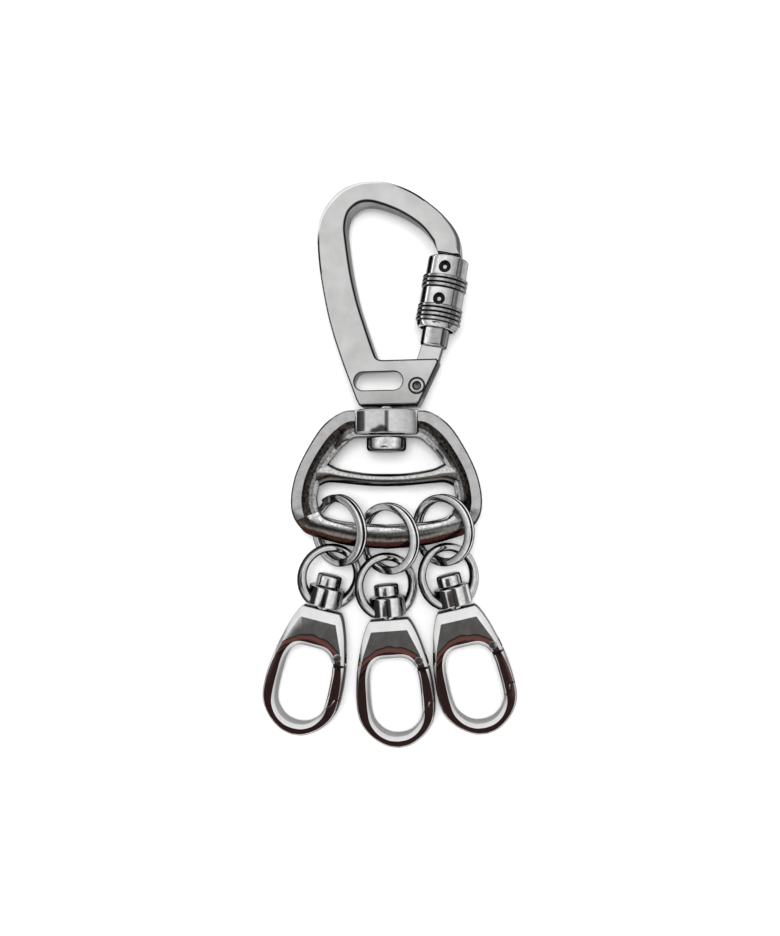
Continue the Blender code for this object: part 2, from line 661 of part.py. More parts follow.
def build_ring(side, frame, chrome):
    ring, eye, down = chain_places(side)
    turn = Matrix.Rotation(RING_PITCH, 3, "X") @ Matrix.Rotation(-RING_YAWS[side], 3, "Y")
    sections, least = ring_sections()
    spun = turn @ Matrix.Rotation(RING_SPIN, 3, "Z")
    rest = max(-(spun @ point)[2] for section in sections for point in section)
    place = make_empty(f"ring_place_{side}", frame, location=(ring[0], ring[1], rest - BOSS_DEPTH / 2),
                       rotation=turn.to_euler())
    item = add_object(f"split_ring_{side}", loft(f"split_ring_{side}", sections), place, chrome)
    item.rotation_euler = (0, 0, RING_SPIN)
    print(f"split_ring_{side}: least gap between its turns {least * 1000:.2f} mm")


def eye_mesh(name):
    start = math.acos(min(1.0, (boss_centre() + 0.25 * EYE_BOSS_HEIGHT) / EYE_RADIUS))
    count = 26
    sections = []
    for step in range(count + 1):
        share = step / count
        angle = start + (2 * math.pi - 2 * start) * share
        swell = EYE_WIRE_SWELL * max(0.0, abs(2 * share - 1) - 0.5) * 2
        radius = EYE_WIRE_RADIUS + swell
        way = Vector((math.sin(angle), -math.cos(angle), 0))
        ring = []
        for index in range(8):
            turn = 2 * math.pi * (index + 0.5) / 8
            ring.append(way * (EYE_RADIUS + radius * math.cos(turn)) + Vector((0, 0, radius * math.sin(turn))))
        sections.append(ring)
    return loft(name, sections)


def boss_centre():
    """Distance from the eye's centre down to the middle of its boss."""
    return EYE_RADIUS + EYE_WIRE_RADIUS - SEAT_GAP * 3 - EYE_BOSS_HEIGHT / 2


def build_eye(side, line, chrome):
    yaw = make_empty(f"eye_yaw_{side}", line, rotation=(0, EYE_YAW, 0))
    eye = add_object(f"hook_eye_{side}", eye_mesh(f"hook_eye_{side}"), yaw, chrome)
    radius, edge, half = EYE_BOSS_RADIUS, EYE_BOSS_EDGE, EYE_BOSS_HEIGHT / 2
    profile = [(radius - edge, -half), (radius, edge - half), (radius, half - edge), (radius - edge, half)]
    place = (0, -boss_centre(), 0)
    boss = add_object(f"eye_boss_join_{side}", lathe(f"eye_boss_join_{side}", profile, 20), yaw,
                      location=place, rotation=(-math.pi / 2, 0, 0))
    boolean(eye, boss, "UNION")
    bore = cylinder(f"eye_bore_cut_{side}", RIVET_RADIUS + RUN_GAP, -half - CUT_OVERRUN, half + CUT_OVERRUN, 16)
    boolean(eye, add_object(f"eye_bore_cut_{side}", bore, yaw, location=place, rotation=(-math.pi / 2, 0, 0)))


def hook_top():
    """Distance from the eye's centre down to the top face of the hook."""
    return boss_centre() + EYE_BOSS_HEIGHT / 2 + HOOK_NECK_GAP


def build_rivet(side, spin, chrome):
    seat = EYE_BOSS_HEIGHT / 2 - boss_centre() + RUN_GAP
    top, edge = seat + RIVET_HEAD_HEIGHT, RIVET_HEAD_EDGE
    foot = -hook_top() - RIVET_ANCHOR
    collar = RIVET_RADIUS + RUN_GAP + SEAT_GAP
    low = -hook_top() + SEAT_GAP
    high = low + HOOK_NECK_GAP - 2 * SEAT_GAP
    profile = [(RIVET_RADIUS, foot), (RIVET_RADIUS, low), (collar, low), (collar, high), (RIVET_RADIUS, high),
               (RIVET_RADIUS, seat), (RIVET_HEAD_RADIUS, seat), (RIVET_HEAD_RADIUS, top - edge),
               (RIVET_HEAD_RADIUS - edge, top)]
    add_object(f"hook_rivet_{side}", lathe(f"hook_rivet_{side}", profile, 20), spin, chrome,
               rotation=(-math.pi / 2, 0, 0))


def hook_outline():
    """The open hook: from the shoulder over the top, down the spine and round to the nose."""
    shoulder = hook_point((0, SHOULDER_PIXEL))[1]
    outer = spline([hook_point(pixel) for pixel in HOOK_OUTER_PIXELS], 2)
    inner = spline([hook_point(pixel) for pixel in HOOK_INNER_PIXELS], 2)
    step = [hook_point(pixel) for pixel in NOSE_STEP_PIXELS]
    outline = [point for point in reversed(outer) if point[1] > shoulder]
    outline += [Vector((-point[0], point[1])) for point in outer]
    outline += [point for point in reversed(outer[:-1]) if point[1] < step[0][1]]
    outline += step
    outline += [point for point in inner[:-1] if point[1] < step[-1][1]]
    outline += [Vector((-point[0], point[1])) for point in reversed(inner)]
    outline += [point for point in inner[1:] if point[1] > shoulder]
    return outline


def lever_outline():
    """The lever's arm, from its roof under the shoulder to the step that meets the nose."""
    roof = [hook_point(pixel) for pixel in LEVER_ROOF_PIXELS]
    outer = spline([hook_point(pixel) for pixel in HOOK_OUTER_PIXELS], 2)
    inner = spline([hook_point(pixel) for pixel in HOOK_INNER_PIXELS], 2)
    step = [hook_point(pixel) + Vector((0, RUN_GAP)) for pixel in NOSE_STEP_PIXELS]
    step[1] += Vector((-RUN_GAP, 0))
    step[2] += Vector((-RUN_GAP, 0))
    outline = [roof[1], roof[0]]
    outline += [point for point in outer if step[0][1] < point[1] < roof[0][1]]
    outline += step
    outline += [point for point in reversed(inner) if step[-1][1] < point[1] < roof[1][1]]
    return outline


def build_hook(side, spin, steel, chrome):
    top = make_empty(f"hook_top_{side}", spin, location=(0, -hook_top(), 0))
    half = HOOK_DEPTH / 2
    body = add_object(f"hook_body_{side}", prism(f"hook_body_{side}", hook_outline(), -half, half), top, steel)
    bevel(body, HOOK_EDGE, 1, math.radians(60))

    pin = hook_point(LEVER_PIN_PIXEL)
    slot = TONGUE_DEPTH / 2 + RUN_GAP
    shoulder = hook_point((0, SHOULDER_PIXEL))[1] - CUT_OVERRUN
    spring = [hook_point(pixel) for pixel in LEVER_SPRING_PIXELS]
    room = TONGUE_RADIUS + RUN_GAP
    wide = HOOK_WIDTH / 2 + CUT_OVERRUN
    cleft = arc(pin, room, 0, math.pi / 2, 4)
    cleft += [Vector((spring[0][0] - LEAF_DEPTH, spring[0][1] + RUN_GAP)),
              Vector((spring[0][0] - LEAF_DEPTH, shoulder)), Vector((wide, shoulder)), Vector((wide, pin[1]))]
    cut = add_object(f"tongue_cut_{side}", prism(f"tongue_cut_{side}", cleft, -slot, slot), top)
    boolean(body, cut)
    bore = cylinder(f"lever_bore_cut_{side}", LEVER_PIN_RADIUS + SEAT_GAP, -half - CUT_OVERRUN, half + CUT_OVERRUN, 12)
    boolean(body, add_object(f"lever_bore_cut_{side}", bore, top, location=(*pin, 0)))
    anchor = cylinder(f"rivet_bore_cut_{side}", RIVET_RADIUS + SEAT_GAP, -RIVET_ANCHOR - SEAT_GAP, CUT_OVERRUN, 16)
    boolean(body, add_object(f"rivet_bore_cut_{side}", anchor, top, rotation=(-math.pi / 2, 0, 0)))

    axis = make_empty(f"lever_axis_{side}", top, location=(*pin, 0))
    arm = [point - pin for point in lever_outline()]
    lever = add_object(f"hook_lever_{side}", prism(f"hook_lever_{side}", arm, -half, half), axis, steel)
    bevel(lever, LEVER_EDGE, 1, math.radians(60))
    tongue_half = TONGUE_DEPTH / 2
    roof = [hook_point(pixel) - pin for pixel in LEVER_ROOF_PIXELS]
    drop = Vector((0, -LEVER_EDGE - RUN_GAP))
    neck = roof[0].lerp(roof[1], 0.3) + drop, roof[0].lerp(roof[1], 0.85) + drop
    tongue = arc((0, 0), TONGUE_RADIUS, 0, math.pi, 8) + [neck[1], neck[0]]
    join = add_object(f"tongue_join_{side}", prism(f"tongue_join_{side}", tongue, -tongue_half, tongue_half), axis)
    boolean(lever, join, "UNION")
    hole = cylinder(f"tongue_bore_cut_{side}", LEVER_PIN_RADIUS + RUN_GAP, -half, half, 12)
    boolean(lever, add_object(f"tongue_bore_cut_{side}", hole, axis))

    pivot = cylinder(f"hook_lever_pin_{side}", LEVER_PIN_RADIUS, -half, half, 12)
    add_object(f"hook_lever_pin_{side}", pivot, top, chrome, location=(*pin, 0))
    thick = Vector((0, -LEAF_DEPTH))
    leaf = [spring[0], spring[1], spring[1] + thick, spring[0] + thick]
    add_object(f"hook_spring_{side}", prism(f"hook_spring_{side}", leaf, -tongue_half, tongue_half), top, chrome)


def build_chain(side, frame, chrome, steel):
    ring, eye, down = chain_places(side)
    build_ring(side, frame, chrome)
    widest = hook_widest()
    spine = widest[0] * math.sin(HOOK_YAW) + HOOK_DEPTH / 2 * math.cos(HOOK_YAW)
    lift = spine + (hook_top() - widest[1]) * math.sin(HOOK_PITCH)
    line = make_empty(f"eye_centre_{side}", frame, location=(eye[0], eye[1], lift - BOSS_DEPTH / 2))
    turn = Matrix.Rotation(math.atan2(down[0], -down[1]), 3, "Z") @ Matrix.Rotation(HOOK_PITCH, 3, "X")
    line.rotation_euler = turn.to_euler()
    build_eye(side, line, chrome)
    spin = make_empty(f"hook_line_{side}", line, rotation=(0, -HOOK_YAW, 0))
    build_rivet(side, spin, chrome)
    build_hook(side, spin, steel, chrome)


def object_bounds():
    bpy.context.view_layer.update()
    graph = bpy.context.evaluated_depsgraph_get()
    points = []
    for item in bpy.data.objects:
        if item.type == "MESH" and not item.hide_render:
            shape = item.evaluated_get(graph)
            points += [item.matrix_world @ vertex.co for vertex in shape.data.vertices]
    low = Vector([min(point[axis] for point in points) for axis in range(3)])
    high = Vector([max(point[axis] for point in points) for axis in range(3)])
    return low, high


def centre_on_floor(assembly):
    """The origin lies under the middle of the whole, on the surface it lies on."""
    low, high = object_bounds()
    middle = (low + high) / 2
    assembly.location = (-middle[0], -middle[1], -low[2])
    bpy.context.view_layer.update()


def report_places():
    for name in ("gate_axis", "sleeve_axis", "swivel_axis"):
        item = bpy.data.objects[name]
        print(name, [round(value, 5) for value in item.matrix_world.translation],
              "z", [round(value, 5) for value in item.matrix_world.col[2][:3]],
              "y", [round(value, 5) for value in item.matrix_world.col[1][:3]])
    for side in RING_YAWS:
        for stem in ("ring_place", "eye_centre", "hook_line", "lever_axis"):
            item = bpy.data.objects[f"{stem}_{side}"]
            print(item.name, [round(value, 5) for value in item.matrix_world.translation],
                  "x", [round(value, 5) for value in item.matrix_world.col[0][:3]],
                  "y", [round(value, 5) for value in item.matrix_world.col[1][:3]],
                  "z", [round(value, 5) for value in item.matrix_world.col[2][:3]])


def main():
    clear_scene()
    chrome = ((0.80, 0.80, 0.79), 0.16)
    steel = ((0.55, 0.53, 0.51), 0.12)
    assembly = make_empty("assembly")
    body_frame = make_empty("body_frame", assembly, rotation=(0, -BODY_YAW, 0))
    build_carabiner(body_frame, chrome)
    hinge = build_gate(body_frame, chrome)
    build_sleeve(hinge, chrome)
    build_post(body_frame, chrome)
    dee_frame = make_empty("swivel_axis", assembly, location=(0, -POST_GAP - BOSS_RISE, 0))
    build_dee(dee_frame, chrome)
    for side in RING_YAWS:
        build_chain(side, dee_frame, chrome, steel)
    centre_on_floor(assembly)
    report_places()


main()
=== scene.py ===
import json
import math

import bmesh
import bpy
from mathutils import Matrix, Vector


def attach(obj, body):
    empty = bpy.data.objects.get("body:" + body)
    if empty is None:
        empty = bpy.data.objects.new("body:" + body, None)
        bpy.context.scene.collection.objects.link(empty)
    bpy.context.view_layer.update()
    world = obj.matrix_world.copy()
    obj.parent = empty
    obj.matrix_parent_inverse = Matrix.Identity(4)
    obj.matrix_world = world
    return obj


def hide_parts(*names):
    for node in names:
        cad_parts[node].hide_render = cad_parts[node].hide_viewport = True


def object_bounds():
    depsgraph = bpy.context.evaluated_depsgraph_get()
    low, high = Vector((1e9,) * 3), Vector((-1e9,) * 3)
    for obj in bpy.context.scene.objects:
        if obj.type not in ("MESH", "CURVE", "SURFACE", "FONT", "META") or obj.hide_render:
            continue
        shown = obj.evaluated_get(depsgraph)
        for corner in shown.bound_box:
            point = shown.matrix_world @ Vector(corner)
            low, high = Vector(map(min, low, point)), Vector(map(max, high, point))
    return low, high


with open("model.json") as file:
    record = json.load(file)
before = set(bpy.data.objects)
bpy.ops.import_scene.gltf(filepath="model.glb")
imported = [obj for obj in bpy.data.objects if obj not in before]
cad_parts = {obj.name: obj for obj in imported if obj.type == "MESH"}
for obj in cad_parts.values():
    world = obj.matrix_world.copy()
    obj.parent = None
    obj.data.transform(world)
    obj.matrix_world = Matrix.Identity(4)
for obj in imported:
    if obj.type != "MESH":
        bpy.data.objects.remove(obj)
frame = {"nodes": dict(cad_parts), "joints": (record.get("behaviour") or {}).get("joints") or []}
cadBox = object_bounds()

pixel = 0.00025  # metres to one pixel of the photograph
tip = 0.00002  # a turned part's radius on its own axis, just over nothing
past = 0.001  # how far a cutter reaches past what it cuts
sharpAngle = math.radians(32)
joints = {joint["name"]: joint for joint in frame["joints"]}
sides = ("left", "middle", "right")
onEnd = Matrix.Rotation(-math.pi / 2, 4, "X")  # turns a lathe part's axis to the piece's Y


# shape helpers


def curveThrough(points, steps, closed=False):  # Catmull-Rom
    vectors = [Vector(point) for point in points]
    count = len(vectors)
    curve = []
    for index in range(count if closed else count - 1):
        start, end = vectors[index], vectors[(index + 1) % count]
        before = vectors[index - 1] if closed or index else start
        after = vectors[(index + 2) % count] if closed or index + 2 < count else end
        for step in range(steps):
            t = step / steps
            curve.append(0.5 * (2 * start + (end - before) * t
                                + (2 * before - 5 * start + 4 * end - after) * t ** 2
                                + (3 * start - before - 3 * end + after) * t ** 3))
    if not closed:
        curve.append(vectors[-1])
    return curve


def arcPoints(centre, radius, start, end, steps):
    return [Vector((centre[0] + radius * math.cos(start + (end - start) * step / steps),
                    centre[1] + radius * math.sin(start + (end - start) * step / steps)))
            for step in range(steps + 1)]


def signedArea(loop):
    return 0.5 * sum(a[0] * b[1] - b[0] * a[1] for a, b in zip(loop, loop[1:] + loop[:1]))


def inwardNormals(loop):  # mitred, for a loop that runs anticlockwise
    normals = []
    for index, point in enumerate(loop):
        first = (point - loop[index - 1]).normalized()
        second = (loop[(index + 1) % len(loop)] - point).normalized()
        a, b = Vector((-first[1], first[0])), Vector((-second[1], second[0]))
        middle = a + b
        if middle.length < 1e-6:
            normals.append(a)
            continue
        middle.normalize()
        normals.append(middle / max(0.5, middle.dot(a)))
    return normals


def eased(share):
    share = min(1.0, max(0.0, share))
    return share * share * (3 - 2 * share)


def mirrored(pairs):
    return [(Vector((-a[0], a[1])), Vector((-b[0], b[1]))) for a, b in pairs]


def smooth(mesh):
    mesh.shade_smooth()
    mesh.set_sharp_from_angle(angle=sharpAngle)


def skinMesh(name, rings, closed=False, bands=None):  # bands: a face's slot, from its ring and place in it
    data = bmesh.new()
    rows = [[data.verts.new(point) for point in ring] for ring in rings]
    pairs = list(zip(rows, rows[1:])) + ([(rows[-1], rows[0])] if closed else [])
    for number, (low, high) in enumerate(pairs):
        for index in range(len(low)):
            following = (index + 1) % len(low)
            face = data.faces.new((low[index], low[following], high[following], high[index]))
            if bands:
                face.material_index = bands(number, index)
    if not closed:
        data.faces.new(rows[0])
        data.faces.new(list(reversed(rows[-1])))
    bmesh.ops.recalc_face_normals(data, faces=data.faces[:])
    mesh = bpy.data.meshes.new(name)
    data.to_mesh(mesh)
    data.free()
    smooth(mesh)
    return mesh


def oneSlot(mesh, slot):
    for face in mesh.polygons:
        face.material_index = slot
    return mesh


def prismMesh(name, outline, low, high, slot=0):
    rings = [[Vector((*point, height)) for point in outline] for height in (low, high)]
    return oneSlot(skinMesh(name, rings), slot)


def edgedPlate(name, outline, widths, half, depth, rimSlot=0, wallSlot=0):
    # a flat plate with rounded rims: the rims' width at each point, and their depth
    steps, flat = 4, 1.12  # the flat begins a little inside the rim
    loop = [Vector(point) for point in outline]
    if signedArea(loop) < 0:
        loop.reverse()
        widths = widths[::-1]
    normals = inwardNormals(loop)
    angles = [math.pi / 2 * step / steps for step in range(steps + 1)]
    stages = [(1 - math.cos(angle), 1 - math.sin(angle)) for angle in angles]  # shares of width and depth
    heights = [(flat, -half)] + [(share, -half + rise * depth) for share, rise in reversed(stages)]
    heights += [(share, half - rise * depth) for share, rise in stages] + [(flat, half)]
    rings = [[Vector((*(point + normal * width * share), height))
              for point, normal, width in zip(loop, normals, widths)] for share, height in heights]
    rim = [rimSlot] * steps
    slots = [0] + rim + [wallSlot] + rim + [0]
    return skinMesh(name, rings, bands=lambda number, index: slots[number])


def turnedMesh(name, profile, steps, bored=False):
    turns = [2 * math.pi * step / steps for step in range(steps)]
    rings = [[Vector((radius * math.cos(turn), radius * math.sin(turn), height)) for turn in turns]
             for radius, height in profile]
    return skinMesh(name, rings, closed=bored)


def roundedProfile(corners, steps=4):  # corners: radius, height and the rounding there
    points = [Vector(corner[:2]) for corner in corners]
    profile = []
    for index, corner in enumerate(corners):
        size = corner[2] if len(corner) > 2 else 0
        point = points[index]
        if not size or index in (0, len(corners) - 1):
            profile.append(tuple(point))
            continue
        back = (points[index - 1] - point).normalized() * size
        ahead = (points[index + 1] - point).normalized() * size
        for step in range(steps + 1):
            t = step / steps
            profile.append(tuple(point + back * (1 - t) ** 2 + ahead * t ** 2))
    return profile


def roundedBox(width, depth, corner, steps=5):  # a section, anticlockwise
    x, y = width / 2 - corner, depth / 2 - corner
    points = []
    for quarter, centre in enumerate(((x, y), (-x, y), (-x, -y), (x, -y))):
        start = quarter * math.pi / 2
        points += arcPoints(centre, corner, start, start + math.pi / 2, steps)
    return points


def placeMatrix(origin, xAxis, yAxis, zAxis):
    turn = Matrix((xAxis, yAxis, zAxis)).transposed().to_4x4()
    return Matrix.Translation(origin) @ turn


def addObject(name, mesh, place=Matrix()):
    made = bpy.data.objects.new(name, mesh)
    bpy.context.scene.collection.objects.link(made)
    made.matrix_world = place
    return made


def addPiece(name, mesh, place, *paintedReflectionFinishNames):
    for paintedReflectionFinishName in paintedReflectionFinishNames:
        mesh.materials.append(paintedReflectionFinish[paintedReflectionFinishName])
    return addObject(name, mesh, place)


def cut(piece, mesh, place, operation="DIFFERENCE"):  # applied at once, so no cutter is left
    tool = addObject("tool", mesh, place)
    for material in piece.data.materials:
        mesh.materials.append(material)
    step = piece.modifiers.new("cut", "BOOLEAN")
    step.operation, step.object, step.solver = operation, tool, "EXACT"
    bpy.context.view_layer.update()
    graph = bpy.context.evaluated_depsgraph_get()
    made = bpy.data.meshes.new_from_object(piece.evaluated_get(graph), depsgraph=graph)
    piece.modifiers.clear()
    old = piece.data
    name = old.name
    piece.data = made
    bpy.data.meshes.remove(old)
    made.name = name
    bpy.data.objects.remove(tool, do_unlink=True)
    bpy.data.meshes.remove(mesh)


def drill(piece, radius, low, high, place, steps=32):
    cut(piece, turnedMesh("drill", [(radius, low), (radius, high)], steps), place)


def keepOwnFrame(piece):  # the painted reflections and shade follow the piece's own frame, and the object goes to the origin
    mesh = piece.data
    spots = [number for vertex in mesh.vertices for number in vertex.co]
    mesh.attributes.new("ownSpot", "FLOAT_VECTOR", "POINT").data.foreach_set("vector", spots)
    normals = [number for corner in mesh.corner_normals for number in corner.vector]
    mesh.attributes.new("ownNormal", "FLOAT_VECTOR", "CORNER").data.foreach_set("vector", normals)
    mesh.transform(piece.matrix_world)
    piece.matrix_world = Matrix()


def settle(piece, body, slot, *nodes):
    smooth(piece.data)
    keepOwnFrame(piece)
    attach(piece, body)
    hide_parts(*nodes)


# materials, with painted reflection and shade

paintedReflectionFinish = {}
metal = {  # what all the painted-reflection materials share
    "spread": 0.05, "smoothest": 0.02, "cloudDetail": 4.0, "cloudFrom": 0.32, "cloudTo": 0.68,
    "grainDetail": 3.0, "grainDepth": 0.00002, "fadeWander": 0.6, "paintedReflectionWander": 0.0012,
    "darkPaintedReflection": 0.012, "brightPaintedReflection": 0.070, "mirror": 0.97, "dull": 0.35,
}


def addNode(tree, kind, inputs, **settings):  # inputs: a socket is linked, anything else is set
    node = tree.nodes.new("ShaderNode" + kind)
    for name, value in settings.items():
        setattr(node, name, value)
    for name, value in inputs.items():
        if isinstance(value, bpy.types.NodeSocket):
            tree.links.new(value, node.inputs[name])
        else:
            node.inputs[name].default_value = value
    return node


def addMath(tree, operation, *values):
    return addNode(tree, "Math", dict(enumerate(values)), operation=operation).outputs[0]


def addRange(tree, source, start, end, low=0.0, high=1.0, curve="LINEAR"):
    inputs = {0: source, "From Min": start, "From Max": end, "To Min": low, "To Max": high}
    return addNode(tree, "MapRange", inputs, interpolation_type=curve).outputs[0]


def addNoise(tree, spot, scale, detail):
    return addNode(tree, "TexNoise", {"Vector": spot, "Scale": scale, "Detail": detail}).outputs[0]


def addRamp(tree, source, stops, curve="LINEAR"):  # stops: place, colour and, in a painted reflection, cover
    ramp = addNode(tree, "ValToRGB", {0: source})
    elements = ramp.color_ramp.elements
    ramp.color_ramp.interpolation = curve
    while len(elements) < len(stops):
        elements.new(0.5)
    for element, (place, colour, *cover) in zip(elements, stops):
        element.position = place
        element.color = (*colour, *(cover or [1.0]))
    return ramp


def mixColours(tree, amount, first, second, blend="MIX"):
    inputs = {"Factor": amount, 6: first, 7: second}
    return addNode(tree, "Mix", inputs, data_type="RGBA", blend_type=blend).outputs[2]


def newMaterial(name):
    material = bpy.data.materials.new(name)
    material.use_nodes = True
    return material, material.node_tree, material.node_tree.nodes["Principled BSDF"]


def grey(level, warm=0.0):
    return (level * (1 + warm), level, level * (1 - warm))


def makePaintedReflectionFinish(name, rough, tones, cloud=0.06, cloudScale=260.0, grain=0.0, grainScale=9000.0, axis=2,
               edge=1.0, oneSided=False, fade=None, paintedReflection=None, ownFrame=True):
    # tones: painted reflection and shade, as stops over the piece's own normal along one axis, each a grey
    # level or a colour.
    # They run from edge-on, 0, to full face, 1. One-sided ones run from against the axis, 0,
    # over edge-on, 0.5, to along it, 1.
    # fade: a tint that sets in along the piece's Y: where it starts, where it is full,
    # its front's bow along X, and its colour. The painted reflection argument is the same with stops of
    # colour and cover.
    m = metal
    material, tree, shader = newMaterial(name)
    if ownFrame:
        spot, normal = [addNode(tree, "Attribute", {}, attribute_name=kept).outputs["Vector"]
                        for kept in ("ownSpot", "ownNormal")]
        normal = addNode(tree, "VectorMath", {0: normal}, operation="NORMALIZE").outputs[0]
    else:
        where = addNode(tree, "TexCoord", {})
        spot, normal = where.outputs["Object"], where.outputs["Normal"]
    way = addNode(tree, "SeparateXYZ", {0: normal}).outputs[axis]
    facing = addMath(tree, "MULTIPLY_ADD" if oneSided else "ABSOLUTE", way, 0.5, 0.5)
    stops = [(place, tone if isinstance(tone, tuple) else grey(tone)) for place, tone in tones]
    clouds = addNoise(tree, spot, cloudScale, m["cloudDetail"])
    shade = addRange(tree, clouds, m["cloudFrom"], m["cloudTo"], 1.0 - cloud, 1.0 + cloud)
    paint = mixColours(tree, 1.0, addRamp(tree, facing, stops, "EASE").outputs[0], shade, "MULTIPLY")
    if fade or paintedReflection:
        start, end, bow, layer = fade or paintedReflection
        parts = addNode(tree, "SeparateXYZ", {0: spot})
        square = addMath(tree, "MULTIPLY", parts.outputs[0], parts.outputs[0])
        front = addMath(tree, "MULTIPLY_ADD", square, bow, parts.outputs[1])
        wander = m["fadeWander"] * abs(end - start) if fade else m["paintedReflectionWander"]
        front = addMath(tree, "MULTIPLY_ADD", clouds, wander, front)
        amount = addRange(tree, front, start, end, curve="SMOOTHSTEP" if fade else "LINEAR")
    if fade:
        paint = mixColours(tree, amount, paint, (*layer, 1.0), "MULTIPLY")
    # the painted reflection lies over the paint, with less metal where it is brighter, so that its brown
    # shows
    if paintedReflection:
        paintedStreaks = addRamp(tree, amount, layer)
        paint = mixColours(tree, paintedStreaks.outputs["Alpha"], paint, paintedStreaks.outputs["Color"])
        shine = addRange(tree, paintedStreaks.outputs["Color"], m["darkPaintedReflection"], m["brightPaintedReflection"],
                         m["mirror"], m["dull"])
        tree.links.new(shine, shader.inputs["Metallic"])
    else:
        shader.inputs["Metallic"].default_value = 1.0
    tree.links.new(paint, shader.inputs["Base Color"])
    shader.inputs["Specular Tint"].default_value = (edge, edge, edge, 1.0)
    uneven = addRange(tree, clouds, 0.0, 1.0, max(m["smoothest"], rough - m["spread"]), rough + m["spread"])
    tree.links.new(uneven, shader.inputs["Roughness"])
    if grain:
        inputs = {"Strength": grain, "Distance": m["grainDepth"],
                  "Height": addNoise(tree, spot, grainScale, m["grainDetail"])}
        tree.links.new(addNode(tree, "Bump", inputs).outputs[0], shader.inputs["Normal"])
    paintedReflectionFinish[name] = material


polished = {"cloud": 0.12, "cloudScale": 900.0}

# The tones of every material below are painted reflection and shade: dark outlines and walls, light faces
# and highlights, and bands of reflection across the round parts.
makePaintedReflectionFinish("carabinerFace", 0.32, [(0.0, 0.5), (1.0, grey(0.62, 0.005))], cloud=0.13, cloudScale=150.0,
           grain=0.35, grainScale=14000.0, fade=(0.0045, -0.0035, 0.0, (0.78, 0.77, 0.75)))
makePaintedReflectionFinish("carabinerRim", 0.14, [(0.0, 0.12), (0.5, 0.03), (0.86, 0.02), (0.97, 0.50), (1.0, 0.70)],
           edge=0.2)
makePaintedReflectionFinish("carabinerWall", 0.20, [(0.0, grey(0.36, 0.01)), (1.0, 0.4)], cloud=0.14, cloudScale=420.0,
           edge=0.35)
# the bow's rim: a painted white highlight, which the fade darkens away from the upper left
makePaintedReflectionFinish("bowRim", 0.12, [(0.0, 0.10), (0.55, 0.45), (0.75, 0.95), (1.0, 0.95)], edge=0.4,
           fade=(0.0540, 0.0500, 20.0, (0.03, 0.03, 0.03)))
# the nose's rim: painted reflection with a dark line
makePaintedReflectionFinish("noseRim", 0.14, [(0.0, 0.55), (0.72, 0.26), (0.80, 0.10), (0.97, 0.12), (1.0, 0.5)],
           edge=0.4)
# groove: painted shade for grooves, recesses and clefts
makePaintedReflectionFinish("groove", 0.30, [(0.0, 0.015), (1.0, 0.04)], cloud=0.3, cloudScale=900.0)
makePaintedReflectionFinish("gateFace", 0.12, [(0.0, 0.18), (0.5, 0.20), (0.85, 0.06), (0.95, 0.58), (1.0, 0.66)],
           edge=0.3)
makePaintedReflectionFinish("stem", 0.14, [(0.0, 0.25), (0.10, 0.02), (0.22, 0.02), (0.28, 0.95), (0.44, 0.80),
           (0.48, 0.42), (0.60, 0.40), (0.68, 0.04), (0.75, 0.04), (0.82, 0.20), (1.0, 0.22)], axis=0,
           oneSided=True, edge=0.3, **polished)
# sleeve and rib: painted bands of reflection along the sleeve, darker on the ribs
makePaintedReflectionFinish("sleeve", 0.10, [(0.0, 0.26), (0.05, 0.30), (0.065, 0.02), (0.140, 0.02), (0.16, 0.88),
           (0.45, 0.84), (0.60, 0.62), (0.71, 0.44), (0.78, 0.30), (0.80, 0.04), (0.83, 0.24),
           (0.93, 0.26), (1.0, 0.50)], axis=0, oneSided=True, edge=0.4, **polished)
makePaintedReflectionFinish("rib", 0.10, [(0.0, 0.20), (0.065, 0.02), (0.140, 0.02), (0.18, 0.60), (0.30, 0.22),
           (0.45, 0.62), (0.60, 0.40), (0.71, 0.22), (0.79, 0.26), (0.81, 0.04), (0.84, 0.20),
           (1.0, 0.22)], axis=0, oneSided=True, edge=0.3, cloud=0.25, cloudScale=1500.0)
makePaintedReflectionFinish("rivet", 0.14, [(0.0, 0.14), (0.7, 0.10), (0.96, 0.42), (1.0, 0.50)], **polished)
# hollow: painted shade deep inside recesses
makePaintedReflectionFinish("hollow", 0.30, [(0.0, 0.02), (0.7, 0.04), (1.0, 0.16)], cloud=0.5, cloudScale=2600.0)
makePaintedReflectionFinish("deeFace", 0.26, [(0.0, 0.2), (0.9, 0.3), (1.0, 0.50)], cloud=0.12, cloudScale=520.0,
           grain=0.4, edge=0.4)
# the slope: painted dark reflection, speckled at random
makePaintedReflectionFinish("deeSlope", 0.24, [(0.0, grey(0.02, 0.10)), (1.0, grey(0.042, 0.12))], cloud=0.97,
           cloudScale=1500.0, grain=0.5, grainScale=7000.0, edge=0.25)
makePaintedReflectionFinish("deeLip", 0.16, [(0.0, 0.04), (0.45, 0.10), (0.75, 0.30), (1.0, 0.40)], cloud=0.4,
           cloudScale=1200.0, edge=0.3)
